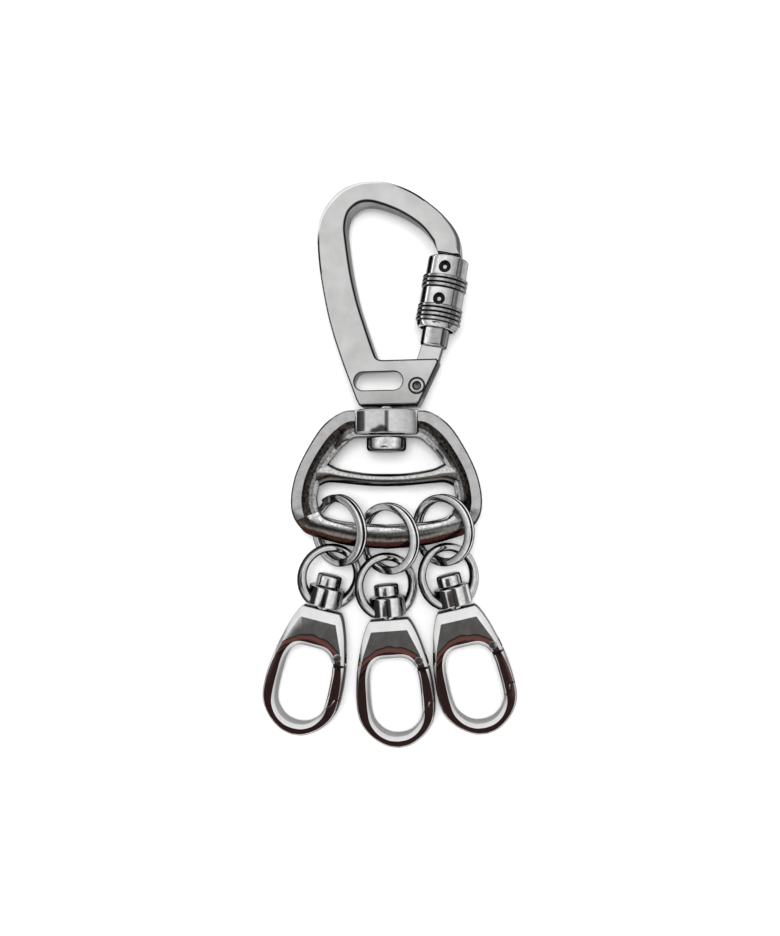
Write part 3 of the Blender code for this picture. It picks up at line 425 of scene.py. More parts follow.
# the bar: painted reflection, dark and red-brown along its lower edge and light along its upper edge
makePaintedReflectionFinish("deeBar", 0.16, [(0.0, 0.03), (0.12, 0.02), (0.17, (0.065, 0.022, 0.017)),
           (0.28, (0.055, 0.022, 0.018)), (0.34, grey(0.20, 0.10)), (0.42, grey(0.22, 0.04)),
           (0.46, 0.10), (0.53, 0.10), (0.62, 0.42), (0.70, 0.85), (0.86, 0.98), (0.93, 0.40),
           (0.97, 0.04), (1.0, 0.04)], axis=1, oneSided=True, edge=0.4, cloud=0.35, cloudScale=1500.0)
makePaintedReflectionFinish("deeBoss", 0.12, [(0.0, 0.30), (0.10, 0.75), (0.150, 0.75), (0.165, 0.05), (0.265, 0.08),
           (0.30, 0.64), (0.475, 0.56), (0.492, 0.10), (0.508, 0.10), (0.53, 0.64), (0.80, 0.46),
           (0.855, 0.42), (0.865, 0.06), (0.885, 0.06), (0.90, 0.70), (1.0, 0.40)], axis=0,
           oneSided=True, edge=0.5, cloud=0.10, cloudScale=900.0)
makePaintedReflectionFinish("deeInner", 0.18, [(0.0, 0.14), (1.0, 0.20)], cloud=0.5, cloudScale=1500.0, edge=0.4)
makePaintedReflectionFinish("deeRim", 0.14, [(0.0, 0.03), (0.60, 0.05), (0.85, 0.45), (1.0, 0.7)], edge=0.3)
makePaintedReflectionFinish("deeWall", 0.16, [(0.0, grey(0.42, 0.02)), (1.0, 0.5)], edge=0.15)
makePaintedReflectionFinish("crossbar", 0.14, [(0.0, 0.02), (0.14, 0.03), (0.24, 0.18), (0.32, grey(0.09, 0.10)),
           (0.50, grey(0.12, 0.10)), (0.56, 0.60), (0.68, 0.62), (0.76, 0.50), (0.82, 0.05),
           (0.90, 0.30), (0.96, 0.30), (1.0, 0.03)], axis=1, oneSided=True, edge=0.3, cloud=0.25,
           cloudScale=1800.0)
makePaintedReflectionFinish("stud", 0.12, [(0.0, 0.02), (0.40, 0.03), (0.52, 0.30), (0.66, 0.16), (0.80, 0.50),
           (0.92, 0.78), (1.0, 0.60)], axis=1, edge=0.3, cloud=0.25, cloudScale=900.0)
makePaintedReflectionFinish("ring", 0.09, [(0.0, 0.02), (0.58, 0.04), (0.70, 0.24), (0.77, 0.70), (1.0, 0.95)], edge=0.2,
           **polished)
makePaintedReflectionFinish("eye", 0.11, [(0.0, 0.02), (0.55, 0.03), (0.72, 0.12), (0.86, 0.42), (0.95, 0.70),
           (1.0, 0.55)], edge=0.2, **polished)
makePaintedReflectionFinish("eyeBoss", 0.11, [(0.0, 0.05), (0.10, 0.03), (0.14, 0.80), (0.24, 0.72), (0.28, 0.04),
           (0.36, 0.05), (0.40, 0.80), (0.54, 0.72), (0.62, 0.40), (0.70, 0.12), (0.76, 0.66),
           (0.88, 0.30), (0.93, 0.04), (1.0, 0.04)], axis=0, oneSided=True, edge=0.4, **polished)
makePaintedReflectionFinish("hookRim", 0.10, [(0.0, 0.05), (0.5, 0.10), (0.72, 0.60), (1.0, 0.82)], edge=0.4)
makePaintedReflectionFinish("hookFace", 0.07, [(0.0, 0.5), (1.0, 0.72)], cloud=0.16, cloudScale=420.0,
           paintedReflection=(-0.0058, -0.0098, 60.0, [  # the painted red-brown reflection round the opening
               (0.0, (0.0, 0.0, 0.0), 0.0), (0.05, (0.03, 0.010, 0.008), 0.95),
               (0.15, (0.13, 0.034, 0.025), 0.95), (0.32, (0.14, 0.036, 0.026), 0.95),
               (0.46, (0.04, 0.012, 0.009), 0.95), (0.58, (0.11, 0.026, 0.018), 0.95),
               (0.72, (0.03, 0.008, 0.006), 0.95), (1.0, (0.058, 0.014, 0.010), 0.95)]))
makePaintedReflectionFinish("hookWall", 0.18, [(0.0, 0.42), (1.0, 0.5)], edge=0.40)
makePaintedReflectionFinish("hookSkirt", 0.14, [(0.0, 0.45), (1.0, 0.5)], edge=0.12)
makePaintedReflectionFinish("hookPin", 0.12, [(0.0, 0.4), (1.0, 0.5)])
makePaintedReflectionFinish("spring", 0.35, [(0.0, 0.4), (1.0, 0.55)], ownFrame=False)
print("finishes made")


# carabiner

gateJoint = joints["gate_hinge"]
bodyZ = Vector(gateJoint["axis"]).normalized()
bodyY = Vector(joints["dee_swivel"]["axis"]).normalized()
pinPlace = placeMatrix(Vector(gateJoint["pos_m"]), bodyY.cross(bodyZ).normalized(), bodyY, bodyZ)

carabiner = {  # pixels of the photograph, and metres
    "pinPixel": (418.2, 387.5), "depth": 0.0060, "gap": 0.0003,
    "bowPixels": [
        (461.7, 253.5), (459.5, 241.5), (450.5, 227.0), (434.5, 210.8), (413.4, 195.3), (390.5, 185.2),
        (371.5, 182.7), (356.0, 183.8), (341.0, 189.5), (328.0, 201.5), (319.3, 217.5), (317.2, 236.0),
        (318.6, 260.0), (321.9, 283.0), (328.9, 318.0), (340.0, 354.5), (356.8, 399.5)],
    "basePixels": [(359.6, 405.2), (361.8, 406.7), (419.0, 406.7), (421.2, 403.2), (439.2, 366.0),
                   (439.6, 363.2), (437.4, 361.0)],
    "innerPixels": [
        (384.0, 361.0), (378.6, 359.6), (375.2, 354.0), (366.6, 329.0), (358.2, 302.5), (351.6, 273.5),
        (346.8, 241.0), (345.6, 226.0), (349.2, 212.5), (357.5, 205.4), (366.5, 203.2), (378.5, 205.2),
        (399.2, 213.8), (416.0, 224.4), (426.4, 234.0), (434.6, 245.6)],
    "rim": 0.0006, "rimDepth": 0.00072, "wideRim": 0.0012,
    "wideSpots": [((336.0, 196.0), 30.0), ((463.0, 250.0), 20.0)],  # where the rim widens, and how far
    "brightPixel": (343.0, 191.0), "brightWay": (-0.55, 0.83), "brightReach": 0.0210,
    "broadPixel": (463.0, 250.0), "broadReach": 0.0082, "outward": 0.02,
    "noseRim": 0.00015, "noseCorner": 0.0005, "noseInner": 438.6, "noseOuter": 461.7,
    "noseShares": (0.0, 0.33, 0.67), "slotPixel": (379.7, 382.0), "slotLength": 0.0122,
    "slotHeight": 0.0045, "slotRim": 0.00025, "slotFlare": 0.0007, "cheek": 0.0011, "clevisFloor": 398.6,
    "clevisWall": 402.6, "clevisRoof": 353.0, "clevisSide": 447.6, "clevisCorner": 0.0020,
    "headRadius": 0.0018, "headDepth": 0.0005, "headRound": 0.0003, "shank": 0.0011, "recess": 0.0010,
}
sleeve = {
    "topPixel": (448.9, 261.8), "footPixel": (436.7, 329.8), "length": 0.0176, "topRadius": 0.00505,
    "midRadius": 0.0053, "ribRadius": 0.0056, "endRadius": 0.0047, "wall": 0.0009, "edge": 0.0007,
    "ribPitch": 0.00108, "ribDepth": 0.0004, "ribs": (3, 4), "topBand": 0.0048, "midBand": 0.0040,
    "bandRound": 0.00008, "ribRound": 0.00012, "grooveRound": 0.0001, "endRound": 0.0003,
    "ribShares": (0.12, 0.62, 0.78),  # of a pitch: a rib's start and end, and the groove's floor
    "dimplePixels": (273.5, 304.6), "dimpleRadius": 0.0017, "dimpleDepth": 0.00065,
    "dimpleFloor": 0.30, "dimpleWall": (0.86, 0.62), "dimpleMouth": 0.90,  # shares of radius and depth
}


def fromPin(spot):  # a pixel in the carabiner's plane, measured from the gate's pin
    x, y = carabiner["pinPixel"]
    return Vector(((spot[0] - x) * pixel, (y - spot[1]) * pixel))


sleeveTop = fromPin(sleeve["topPixel"])
sleeveWay = (sleeveTop - fromPin(sleeve["footPixel"])).normalized()
sleeveSide = Vector((sleeveWay[1], -sleeveWay[0]))


def noseRadius():  # the nose ends on a circle about the pin, so that the sleeve's top can pass it
    edge = sleeve["edge"]
    rim = sleeveTop + sleeveSide * (sleeve["topRadius"] - edge) - sleeveWay * edge
    return rim.length + edge + carabiner["gap"]


def nosePoint(pixelX):
    across = fromPin((pixelX, 0))[0]
    return Vector((across, math.sqrt(noseRadius() ** 2 - across ** 2)))


def rimWidth(point):
    c = carabiner
    width = c["rim"]
    for centre, reach in c["wideSpots"]:
        near = math.exp(-((point - fromPin(centre)).length / (reach * pixel)) ** 2)
        width += (c["wideRim"] - c["rim"]) * near
    return width


def bodyOutline():  # points and the rim's width at each
    c = carabiner
    bow = curveThrough([fromPin(spot) for spot in c["bowPixels"]], 8)
    base = [fromPin(spot) for spot in c["basePixels"]]
    inner = curveThrough([fromPin(spot) for spot in c["innerPixels"]], 8)
    outline = [nosePoint(c["noseOuter"])] + bow + base + inner
    rims = [c["noseCorner"]] + [rimWidth(point) for point in bow] + [c["rim"]] * (len(base) + len(inner))
    for share in c["noseShares"]:
        outline.append(nosePoint(c["noseInner"] + (c["noseOuter"] - c["noseInner"]) * share))
        rims.append(c["noseRim"])
    return outline, rims


def slotCutter():
    c = carabiner
    middle, radius, high = fromPin(c["slotPixel"]), c["slotHeight"] / 2, c["depth"] / 2
    run = c["slotLength"] / 2 - radius
    rings = []
    for height, grow in ((-high - c["gap"], c["slotFlare"]), (-high, c["slotFlare"]),
                         (high - c["slotRim"], 0), (high, c["slotRim"]), (high + c["gap"], c["slotRim"])):
        left = arcPoints((middle[0] - run, middle[1]), radius + grow, 0.5 * math.pi, 1.5 * math.pi, 16)
        right = arcPoints((middle[0] + run, middle[1]), radius + grow, -0.5 * math.pi, 0.5 * math.pi, 16)
        rings.append([Vector((*point, height)) for point in left + right])
    return skinMesh("slotCutter", rings)


def buildCarabiner():
    c = carabiner
    half, gap, corner = c["depth"] / 2, c["gap"], c["clevisCorner"]
    mesh = edgedPlate("carabinerBody", *bodyOutline(), half, c["rimDepth"], rimSlot=1, wallSlot=2)
    bright, brightWay, broad = fromPin(c["brightPixel"]), Vector(c["brightWay"]), fromPin(c["broadPixel"])
    for face in mesh.polygons:  # the bow's outer rim gets a painted highlight at its upper left, and its right end and the nose get the nose rim's painted tones
        spot, way = face.center.to_2d(), face.normal.to_2d()
        near = (spot - bright).length < c["brightReach"]
        if face.material_index == 1 and near and way.dot(brightWay) > c["outward"]:
            face.material_index = 4
        if face.material_index == 1 and (spot - broad).length < c["broadReach"] and way[0] > c["outward"]:
            face.material_index = 5
        atNose = abs(spot.length - noseRadius()) < gap and spot[1] > noseRadius() / 2
        if atNose and abs(way[1]) > abs(way[0]):
            face.material_index = 5 if face.material_index else 0
    body = addPiece("carabinerBody", mesh, pinPlace, "carabinerFace", "carabinerRim", "carabinerWall",
                    "groove", "bowRim", "noseRim")
    slot = slotCutter()
    for face in slot.polygons:
        face.material_index = 2 if abs(face.normal[2]) < 0.2 else 1
    cut(body, slot, pinPlace)
    wall, floor = fromPin((c["clevisWall"], c["clevisFloor"]))
    side, roof = fromPin((c["clevisSide"], c["clevisRoof"]))
    bend = arcPoints((wall + corner, floor + corner), corner, math.pi, 1.5 * math.pi, 8)
    room = [Vector((wall, roof))] + bend + [Vector((side, floor)), Vector((side, roof))]
    cheek = half - c["cheek"]
    cut(body, prismMesh("clevisCutter", room, -cheek, cheek), pinPlace)
    hole, fine = c["headRadius"] + gap, 0.0001
    sink = [(hole, half - c["headDepth"] - gap), (hole, half - fine), (hole + fine, half + fine)]
    # the countersink's walls take the groove material, painted shade
    cut(body, oneSlot(turnedMesh("headCutter", sink, 40), 3), pinPlace)
    settle(body, "root", "carabiner_chrome", "carabiner_body")


def buildPin():
    c = carabiner
    half, radius, shank, recess = c["depth"] / 2, c["headRadius"], c["shank"], c["recess"]
    under = half - c["headDepth"]
    profile = roundedProfile([
        (tip, -half), (shank, -half, 0.0002), (shank, under), (radius, under),
        (radius, half, c["headRound"]), (recess, half, 0.00015), (recess * 0.85, under, 0.0002),
        (tip, under - 0.0002)])
    mesh = turnedMesh("gatePin", profile, 48)
    # the recess in the pin's head: its wall takes the groove material and its floor the hollow material,
    # both painted shade
    for face in mesh.polygons:
        spread = face.center.to_2d().length
        if spread < recess * 1.12 and face.center[2] > under - 0.0004:
            face.material_index = 1 if spread > recess * 0.7 else 2
    pin = addPiece("gatePin", mesh, pinPlace, "rivet", "groove", "hollow")
    settle(pin, "root", "rivet_chrome", "gate_pivot_pin")


def sleeveCorners():  # and where each set of ribs starts
    s = sleeve
    bore, top, pitch, height = s["topRadius"] - s["wall"], s["topRadius"], s["ribPitch"], -s["topBand"]
    corners = [(bore, 0), (top, 0, s["edge"]), (top, height, s["bandRound"])]
    starts, (rise, fall, floor) = [], s["ribShares"]
    for number, count in enumerate(s["ribs"]):
        starts.append(height)
        for rib in range(count):
            start = height - rib * pitch
            corners += [(s["ribRadius"], start - share * pitch, s["ribRound"]) for share in (rise, fall)]
            corners.append((s["ribRadius"] - s["ribDepth"], start - floor * pitch, s["grooveRound"]))
        height -= count * pitch
        if number == 0:
            corners += [(s["midRadius"], height - 0.1 * pitch, s["bandRound"]),
                        (s["midRadius"], height - s["midBand"], s["bandRound"])]
            height -= s["midBand"]
    corners += [(s["ribRadius"] - 0.5 * s["edge"], height - 0.1 * s["edge"], s["endRound"]),
                (s["endRadius"], -s["length"], s["endRound"]), (bore, -s["length"])]
    return corners, starts


def dimpleMesh(skinRadius):
    s, bend = sleeve, 0.0001
    radius, deep = s["dimpleRadius"], s["dimpleDepth"]
    floor, (wall, wallDepth), mouth = s["dimpleFloor"], s["dimpleWall"], s["dimpleMouth"]
    mesh = turnedMesh("dimple", roundedProfile([
        (tip, skinRadius - deep), (floor * radius, skinRadius - deep, bend),
        (wall * radius, skinRadius - wallDepth * deep, bend),
        (mouth * radius, skinRadius + carabiner["gap"])]), 40)
    # the dimple's inside takes the groove material, painted shade, and its centre the rib material, a dim
    # painted glint
    for face in mesh.polygons:
        spread = face.center.to_2d().length
        face.material_index = 2 if spread < 0.26 * radius and face.center[2] < skinRadius else 1
    return mesh


def buildSleeve():
    s = sleeve
    corners, starts = sleeveCorners()
    mesh = turnedMesh("lockSleeve", roundedProfile(corners), 96, bored=True)
    for face in mesh.polygons:  # the ribs take the rib material's painted bands, and the grooves between them the groove material, painted shade
        outside = face.center.to_2d().length > corners[0][0] + 0.0001
        for start, count in zip(starts, s["ribs"]):
            depth = (start - face.center[2]) / s["ribPitch"]
            if -0.1 < depth < count + 0.1 and outside:
                face.material_index = 1 if 0.64 < depth % 1 < 0.98 and depth < count else 2
    # Z runs up the gate
    place = pinPlace @ placeMatrix((*sleeveTop, 0), (*sleeveSide, 0), (0, 0, -1), (*sleeveWay, 0))
    piece = addPiece("lockSleeve", mesh, place, "sleeve", "groove", "rib")
    inward = Matrix.Rotation(math.pi / 2, 4, "X")
    for spot, skinRadius in zip(s["dimplePixels"], (s["topRadius"], s["midRadius"])):
        down = (fromPin((0, spot))[1] - sleeveTop[1]) / sleeveWay[1]
        cut(piece, dimpleMesh(skinRadius), place @ Matrix.Translation((0, 0, down)) @ inward)
    settle(piece, "sleeve", "sleeve_chrome", "lock_sleeve")


buildCarabiner()
buildPin()
buildSleeve()
print("carabiner made")


# gate

gate = {
    "rootLeft": [(422.6, 345.5), (417.4, 360.7)], "rootRight": [(439.1, 363.4), (444.4, 345.5)],
    "rootRadius": 0.0020, "rootDepth": 0.0032, "rootRim": 0.0003, "bore": 0.0014,
    "leafGroove": [(414.6, 381.1), (424.5, 350.7), (415.0, 350.0), (406.2, 379.5)],  # for the leaf spring
    "leafHalf": 0.0014, "stemFoot": 348.5, "stemWidth": 0.0066, "stemDepth": 0.0058, "stemCorner": 0.0021,
    "leastCorner": 0.0002, "footRound": 0.0007,
}


def stemMesh():
    g = gate
    run, grown = (sleeveTop[1] - fromPin((0, g["stemFoot"]))[1]) / sleeveWay[1], g["footRound"]
    stages = [(run, grown)]
    for step in range(1, 5):
        turn = step * math.pi / 8
        stages.append((run - grown * (1 - math.cos(turn)), grown * (1 - math.sin(turn))))
    rings = []
    for reach, inset in stages + [(carabiner["gap"], 0)]:
        middle = sleeveTop - sleeveWay * reach
        section = roundedBox(g["stemWidth"] - 2 * inset, g["stemDepth"] - 2 * inset,
                             max(g["stemCorner"] - inset, g["leastCorner"]))
        rings.append([Vector((*(middle + sleeveSide * point[0]), point[1])) for point in section])
    return oneSlot(skinMesh("gateStem", rings), 1)


def buildGate():
    g = gate
    left, right, groove = [[fromPin(spot) for spot in g[name]]
                           for name in ("rootLeft", "rootRight", "leafGroove")]
    way = left[0] - left[1]
    leftLean = math.pi - math.asin(way[0] / way.length)
    rightLean = 2 * math.pi - math.atan2(right[0][0] - g["rootRadius"], right[0][1])
    outline = left + arcPoints((0, 0), g["rootRadius"], leftLean, rightLean, 28) + right
    half, rim = g["rootDepth"] / 2, g["rootRim"]
    mesh = edgedPlate("gateArm", outline, [rim] * len(outline), half, rim)
    arm = addPiece("gateArm", mesh, pinPlace, "gateFace", "stem")
    cut(arm, stemMesh(), pinPlace, "UNION")
    drill(arm, g["bore"], -half - past, half + past, pinPlace)
    cut(arm, prismMesh("leafGroove", groove, -g["leafHalf"], g["leafHalf"]), pinPlace)
    settle(arm, "gate", "gate_chrome", "gate_arm")


buildGate()
print("gate made")


# dee and its swivel

deePlace = Matrix.Translation(Vector(joints["dee_swivel"]["pos_m"]))
dee = {
    "height": 0.0345, "depth": 0.0060, "barDepth": 0.0052, "crossbarDepth": 0.0032, "crossbarSteps": 28,
    "outerPixels": [
        (0.0, 0.0), (24.0, 0.0), (41.0, 0.5), (55.5, 8.5), (67.5, 20.5), (82.0, 44.5), (91.0, 65.5),
        (95.0, 86.5), (93.5, 103.5), (86.0, 116.5), (75.0, 124.5), (38.0, 134.5), (0.0, 137.9)],
    "innerPixels": [
        (0.0, 25.5), (20.0, 25.5), (33.0, 26.5), (42.0, 33.5), (50.5, 43.0), (60.0, 56.0), (66.5, 70.0),
        (69.5, 86.5), (67.8, 96.5), (63.0, 103.5), (55.0, 107.5), (36.0, 111.0), (0.0, 113.5)],
    "barTop": [(0.0, 62.5), (16.0, 62.2), (30.0, 60.6), (46.0, 57.6), (55.0, 53.8), (66.0, 48.0)],
    "barFoot": [(0.0, 75.2), (16.0, 74.8), (30.0, 73.6), (46.0, 72.0), (60.0, 71.8), (73.0, 78.5)],
    # share of the way from rim to lip, then shares of half the depth, above and below
    "flatShares": [(0.0, 0.70, 0.70), (0.02, 0.86, 0.84), (0.07, 1.0, 1.0), (0.42, 1.0, 1.0),
                   (0.47, 0.92, 0.84), (0.55, 0.68, 0.61), (0.69, 0.54, 0.53), (0.84, 0.47, 0.45),
                   (0.90, 0.48, 0.39), (0.97, 0.40, 0.30), (1.0, 0.26, 0.26)],
    "roundShares": [(0.0, 0.30, 0.30), (0.03, 0.42, 0.40), (0.12, 0.66, 0.66), (0.34, 0.87, 0.87),
                    (0.52, 0.98, 0.98), (0.60, 1.0, 1.0), (0.70, 0.99, 0.91), (0.84, 0.86, 0.76),
                    (0.91, 0.68, 0.61), (0.97, 0.44, 0.40), (1.0, 0.30, 0.30)],
    "bandSlots": [7, 7, 0, 2, 2, 2, 8, 1, 1, 3],  # slots from the rim to the lip, each with its painted reflection and shade
    "roundFrom": 0.70, "roundOver": 0.22, "barFrom": 0.80,  # shares of the height where the bar begins
    "topUntil": 0.12, "topOver": 0.10, "topShare": 0.9,  # the top behind the boss is thicker
    "bossWidth": 0.0180, "bossDepth": 0.0120, "bossHeight": 0.0060, "bossRise": 0.0002, "bossEdge": 0.0006,
    "bossSteps": 96, "bore": 0.0025,
}
post = {
    "anchorRadius": 0.0018, "anchorLength": 0.0024, "collarRadius": 0.0029, "gap": 0.0009, "radius": 0.0022,
    "headRadius": 0.0050, "headLength": 0.0034, "headEdge": 0.0012,
}


def drawn(spot):  # a pixel below and beside a piece's own origin
    return Vector((spot[0] * pixel, -spot[1] * pixel))


def deeRings():  # flat at the sides, round along the bar
    d = dee
    outer, inner = [curveThrough([drawn(spot) for spot in d[name]], 9)
                    for name in ("outerPixels", "innerPixels")]
    pairs = list(zip(outer, inner))
    rings = []
    for rim, lip in pairs + mirrored(pairs)[-2:0:-1]:
        drop = -rim[1] / d["height"]
        mix = eased((drop - d["roundFrom"]) / d["roundOver"])
        start = min(1.0, max(0.0, (d["topUntil"] - drop) / d["topOver"]))
        above, below = [], []
        for (flatT, *flats), (roundT, *rounds) in zip(d["flatShares"], d["roundShares"]):
            spot = rim.lerp(lip, flatT + (roundT - flatT) * mix)
            for points, sign, flatZ, roundZ in zip((above, below), (1, -1), flats, rounds):
                flatZ += (max(flatZ, d["topShare"]) - flatZ) * start
                height = flatZ * d["depth"] / 2 * (1 - mix) + roundZ * d["barDepth"] / 2 * mix
                points.append(Vector((*spot, sign * height)))
        rings.append(above + below[::-1])
    return rings


def crossbarMesh():
    top, foot = [curveThrough([drawn(spot) for spot in dee[name]], 8) for name in ("barTop", "barFoot")]
    pairs, deep, steps = list(zip(top, foot)), dee["crossbarDepth"] / 2, dee["crossbarSteps"]
    turns = [2 * math.pi * step / steps for step in range(steps)]
    rings = [[Vector((*upper.lerp(lower, 0.5 - 0.5 * math.cos(turn)), deep * math.sin(turn)))
              for turn in turns] for upper, lower in mirrored(pairs)[:0:-1] + pairs]
    return oneSlot(skinMesh("crossbar", rings), 6)


def bossMesh():
    d = dee
    low, high, edge = -d["bossHeight"], d["bossRise"], d["bossEdge"]
    across, deep, steps, bevel = d["bossWidth"] / 2, d["bossDepth"] / 2, d["bossSteps"], 0.3 * edge
    turns = [2 * math.pi * step / steps for step in range(steps)]
    rings = [[Vector(((across - inset) * math.cos(turn), (deep - inset) * math.sin(turn), height))
              for turn in turns]
             for height, inset in ((low, edge), (low + bevel, bevel), (low + edge, 0),
                                   (high - edge, 0), (high - bevel, bevel), (high, edge))]
    boss = skinMesh("boss", rings)
    for face in boss.polygons:
        face.material_index = 4 if abs(face.normal[2]) < 0.3 else 3
    return boss


def buildDee():
    d = dee
    slots, rings = d["bandSlots"], deeRings()

    def band(number, index):
        # the bar takes the bar material, painted reflection
        if rings[number][0][1] < -d["barFrom"] * d["height"]:
            return 5
        step = min(index, 2 * len(slots) - index)
        return slots[step] if 0 <= step < len(slots) else 3
    mesh = skinMesh("deeFrame", rings, closed=True, bands=band)
    piece = addPiece("deeFrame", mesh, deePlace, "deeFace", "deeLip", "deeSlope", "deeWall", "deeBoss",
                     "deeBar", "crossbar", "deeRim", "deeInner")
    cut(piece, crossbarMesh(), deePlace, "UNION")
    cut(piece, bossMesh(), deePlace @ onEnd, "UNION")
    drill(piece, d["bore"], -d["innerPixels"][0][1] * pixel - past, past, deePlace @ onEnd, 48)
    settle(piece, "dee", "dee_chrome", "dee_frame")


def buildPost():
    p, gap, bossRise = post, carabiner["gap"], dee["bossRise"]
    neck = -p["gap"]
    under = neck - bossRise - dee["innerPixels"][0][1] * pixel - gap
    head = under - p["headLength"]
    profile = roundedProfile([
        (tip, p["anchorLength"]), (p["anchorRadius"], p["anchorLength"]),
        (p["anchorRadius"], (neck + gap) / 2), (p["collarRadius"], neck / 2, 0.0001),
        (p["collarRadius"], neck + gap), (p["radius"], neck + gap), (p["radius"], under),
        (p["headRadius"], under, 0.0004), (p["headRadius"], head, p["headEdge"]), (tip, head)], 6)
    rise = Matrix.Translation((0, p["gap"] + bossRise, 0))  # from the dee's top to the carabiner's base
    piece = addPiece("swivelPost", turnedMesh("swivelPost", profile, 72), deePlace @ rise @ onEnd, "stud")
    settle(piece, "root", "rivet_chrome", "swivel_post")


buildDee()
buildPost()
print("dee made")


# split rings

ring = {
    "outerRadius": 0.00906, "wireWidth": 0.0019, "wireDepth": 0.00085, "turnGap": 0.00045,
    "wireCorner": 0.0003, "turns": 2, "steps": 96, "climb": math.radians(20), "relief": math.radians(5),
    "pitch": math.radians(8),
    "spin": {"left": math.radians(150), "middle": math.radians(205), "right": math.radians(205)},
    "yaw": {"left": math.radians(43), "middle": math.radians(37), "right": math.radians(40)},
    "pixels": {"left": (-47.6, 119.3), "middle": (2.0, 127.5), "right": (56.5, 119.0)},
}


def turnHeight(angle):  # flat turns and one short climb halfway along
    climb = ring["climb"]
    rise = eased((angle - math.pi * ring["turns"] + climb) / (2 * climb))
    return (rise - 0.5) * (ring["wireDepth"] + ring["turnGap"])


def ringSections():
    middle = ring["outerRadius"] - ring["wireWidth"] / 2
    section = roundedBox(ring["wireWidth"], ring["wireDepth"], ring["wireCorner"], 4)
    start = ring["climb"] + ring["relief"]
    end = 2 * math.pi * ring["turns"] - start
    count = ring["steps"] * ring["turns"]
    sections = []
    for step in range(count + 1):
        angle = start + (end - start) * step / count
        way = Vector((math.cos(angle), math.sin(angle), 0))
        lift = turnHeight(angle)
        sections.append([way * (middle + point[0]) + Vector((0, 0, lift + point[1])) for point in section])
    return sections


def buildRing(side):
    turn = (Matrix.Rotation(ring["pitch"], 4, "X") @ Matrix.Rotation(-ring["yaw"][side], 4, "Y")
            @ Matrix.Rotation(ring["spin"][side], 4, "Z"))
    sections = [[turn @ point for point in section] for section in ringSections()]
    low = min(point[2] for section in sections for point in section)
    centre = deePlace.translation + Vector((*drawn(ring["pixels"][side]), 0))
    centre[2] = deePlace.translation[2] - dee["bossDepth"] / 2 - low
    piece = addPiece("splitRing" + side.capitalize(), skinMesh("splitRing", sections),
                     Matrix.Translation(centre), "ring")
    settle(piece, "ring_" + side, "ring_nickel", "split_ring_" + side)


for side in sides:
    buildRing(side)
print("rings made")


# eyes and their rivets

eye = {
    "radius": 0.0074, "wire": 0.00103, "breadth": 1.02, "swell": 0.0003, "bossRadius": 0.0045,
    "bossHeight": 0.0049, "bossEdge": 0.0005, "yaw": math.radians(24), "seat": 0.0003, "bore": 0.0016,
    "steps": 110, "wireSteps": 24,
}
rivet = {"radius": 0.0013, "headRadius": 0.0031, "headHeight": 0.0028, "headEdge": 0.0007, "anchor": 0.0026}
hookYaw = math.radians(6)
neckGap = 0.0009
bossCentre = eye["radius"] + eye["wire"] - 3 * eye["seat"] - eye["bossHeight"] / 2
hookTop = bossCentre + eye["bossHeight"] / 2 + neckGap


def linePlace(side, yaw):  # the eye's centre, with Y up the hook and Z to the camera
    spin, swing = joints["hook_swivel_" + side], joints["eye_swing_" + side]
    y, x = Vector(spin["axis"]).normalized(), -Vector(swing["axis"]).normalized()
    x = (x - y * x.dot(y)).normalized()
    return placeMatrix(Vector(spin["pos_m"]), x, y, x.cross(y)) @ Matrix.Rotation(yaw, 4, "Y")


def eyeMesh():
    start = math.acos(min(1.0, (bossCentre + 0.25 * eye["bossHeight"]) / eye["radius"]))
    rings = []
    for step in range(eye["steps"] + 1):
        share = step / eye["steps"]
        angle = start + (2 * math.pi - 2 * start) * share
        thick = eye["wire"] + eye["swell"] * max(0.0, abs(2 * share - 1) - 0.5) * 2
        way = Vector((math.sin(angle), -math.cos(angle), 0))
        section = []
        for index in range(eye["wireSteps"]):
            turn = 2 * math.pi * index / eye["wireSteps"]
            across, up = math.cos(turn) * thick * eye["breadth"], math.sin(turn) * thick
            section.append(way * (eye["radius"] + across) + Vector((0, 0, up)))
        rings.append(section)
    return skinMesh("hookEye", rings)


def buildEye(side):
    place = linePlace(side, eye["yaw"])
    piece = addPiece("hookEye" + side.capitalize(), eyeMesh(), place, "eye", "eyeBoss")
    half, radius, edge = eye["bossHeight"] / 2, eye["bossRadius"], eye["bossEdge"]
    profile = roundedProfile([(tip, -half), (radius, -half, edge), (radius, half, edge), (tip, half)], 5)
    upright = place @ Matrix.Translation((0, -bossCentre, 0)) @ onEnd
    cut(piece, oneSlot(turnedMesh("eyeBoss", profile, 64), 1), upright, "UNION")
    drill(piece, eye["bore"], -half - past, half + past, upright, 40)
    settle(piece, "eye_" + side, "eye_chrome", "hook_eye_" + side)


def buildRivet(side):
    r, gap, seated = rivet, carabiner["gap"], eye["seat"]
    seat = eye["bossHeight"] / 2 - bossCentre + gap
    top, foot = seat + r["headHeight"], -hookTop - r["anchor"]
    shank, collar = r["radius"], r["radius"] + gap + seated
    low = -hookTop + seated
    high = low + neckGap - 2 * seated
    profile = roundedProfile([
        (tip, foot), (shank, foot), (shank, low), (collar, low), (collar, high), (shank, high),
        (shank, seat), (r["headRadius"], seat, 0.0002), (r["headRadius"], top, r["headEdge"]),
        (tip, top)], 6)
    piece = addPiece("hookRivet" + side.capitalize(), turnedMesh("hookRivet", profile, 64),
                     linePlace(side, -hookYaw) @ onEnd, "stud")
    settle(piece, "hook_" + side, "rivet_chrome", "hook_rivet_" + side)


for side in sides:
    buildEye(side)
    buildRivet(side)
print("eyes made")


# hooks and levers

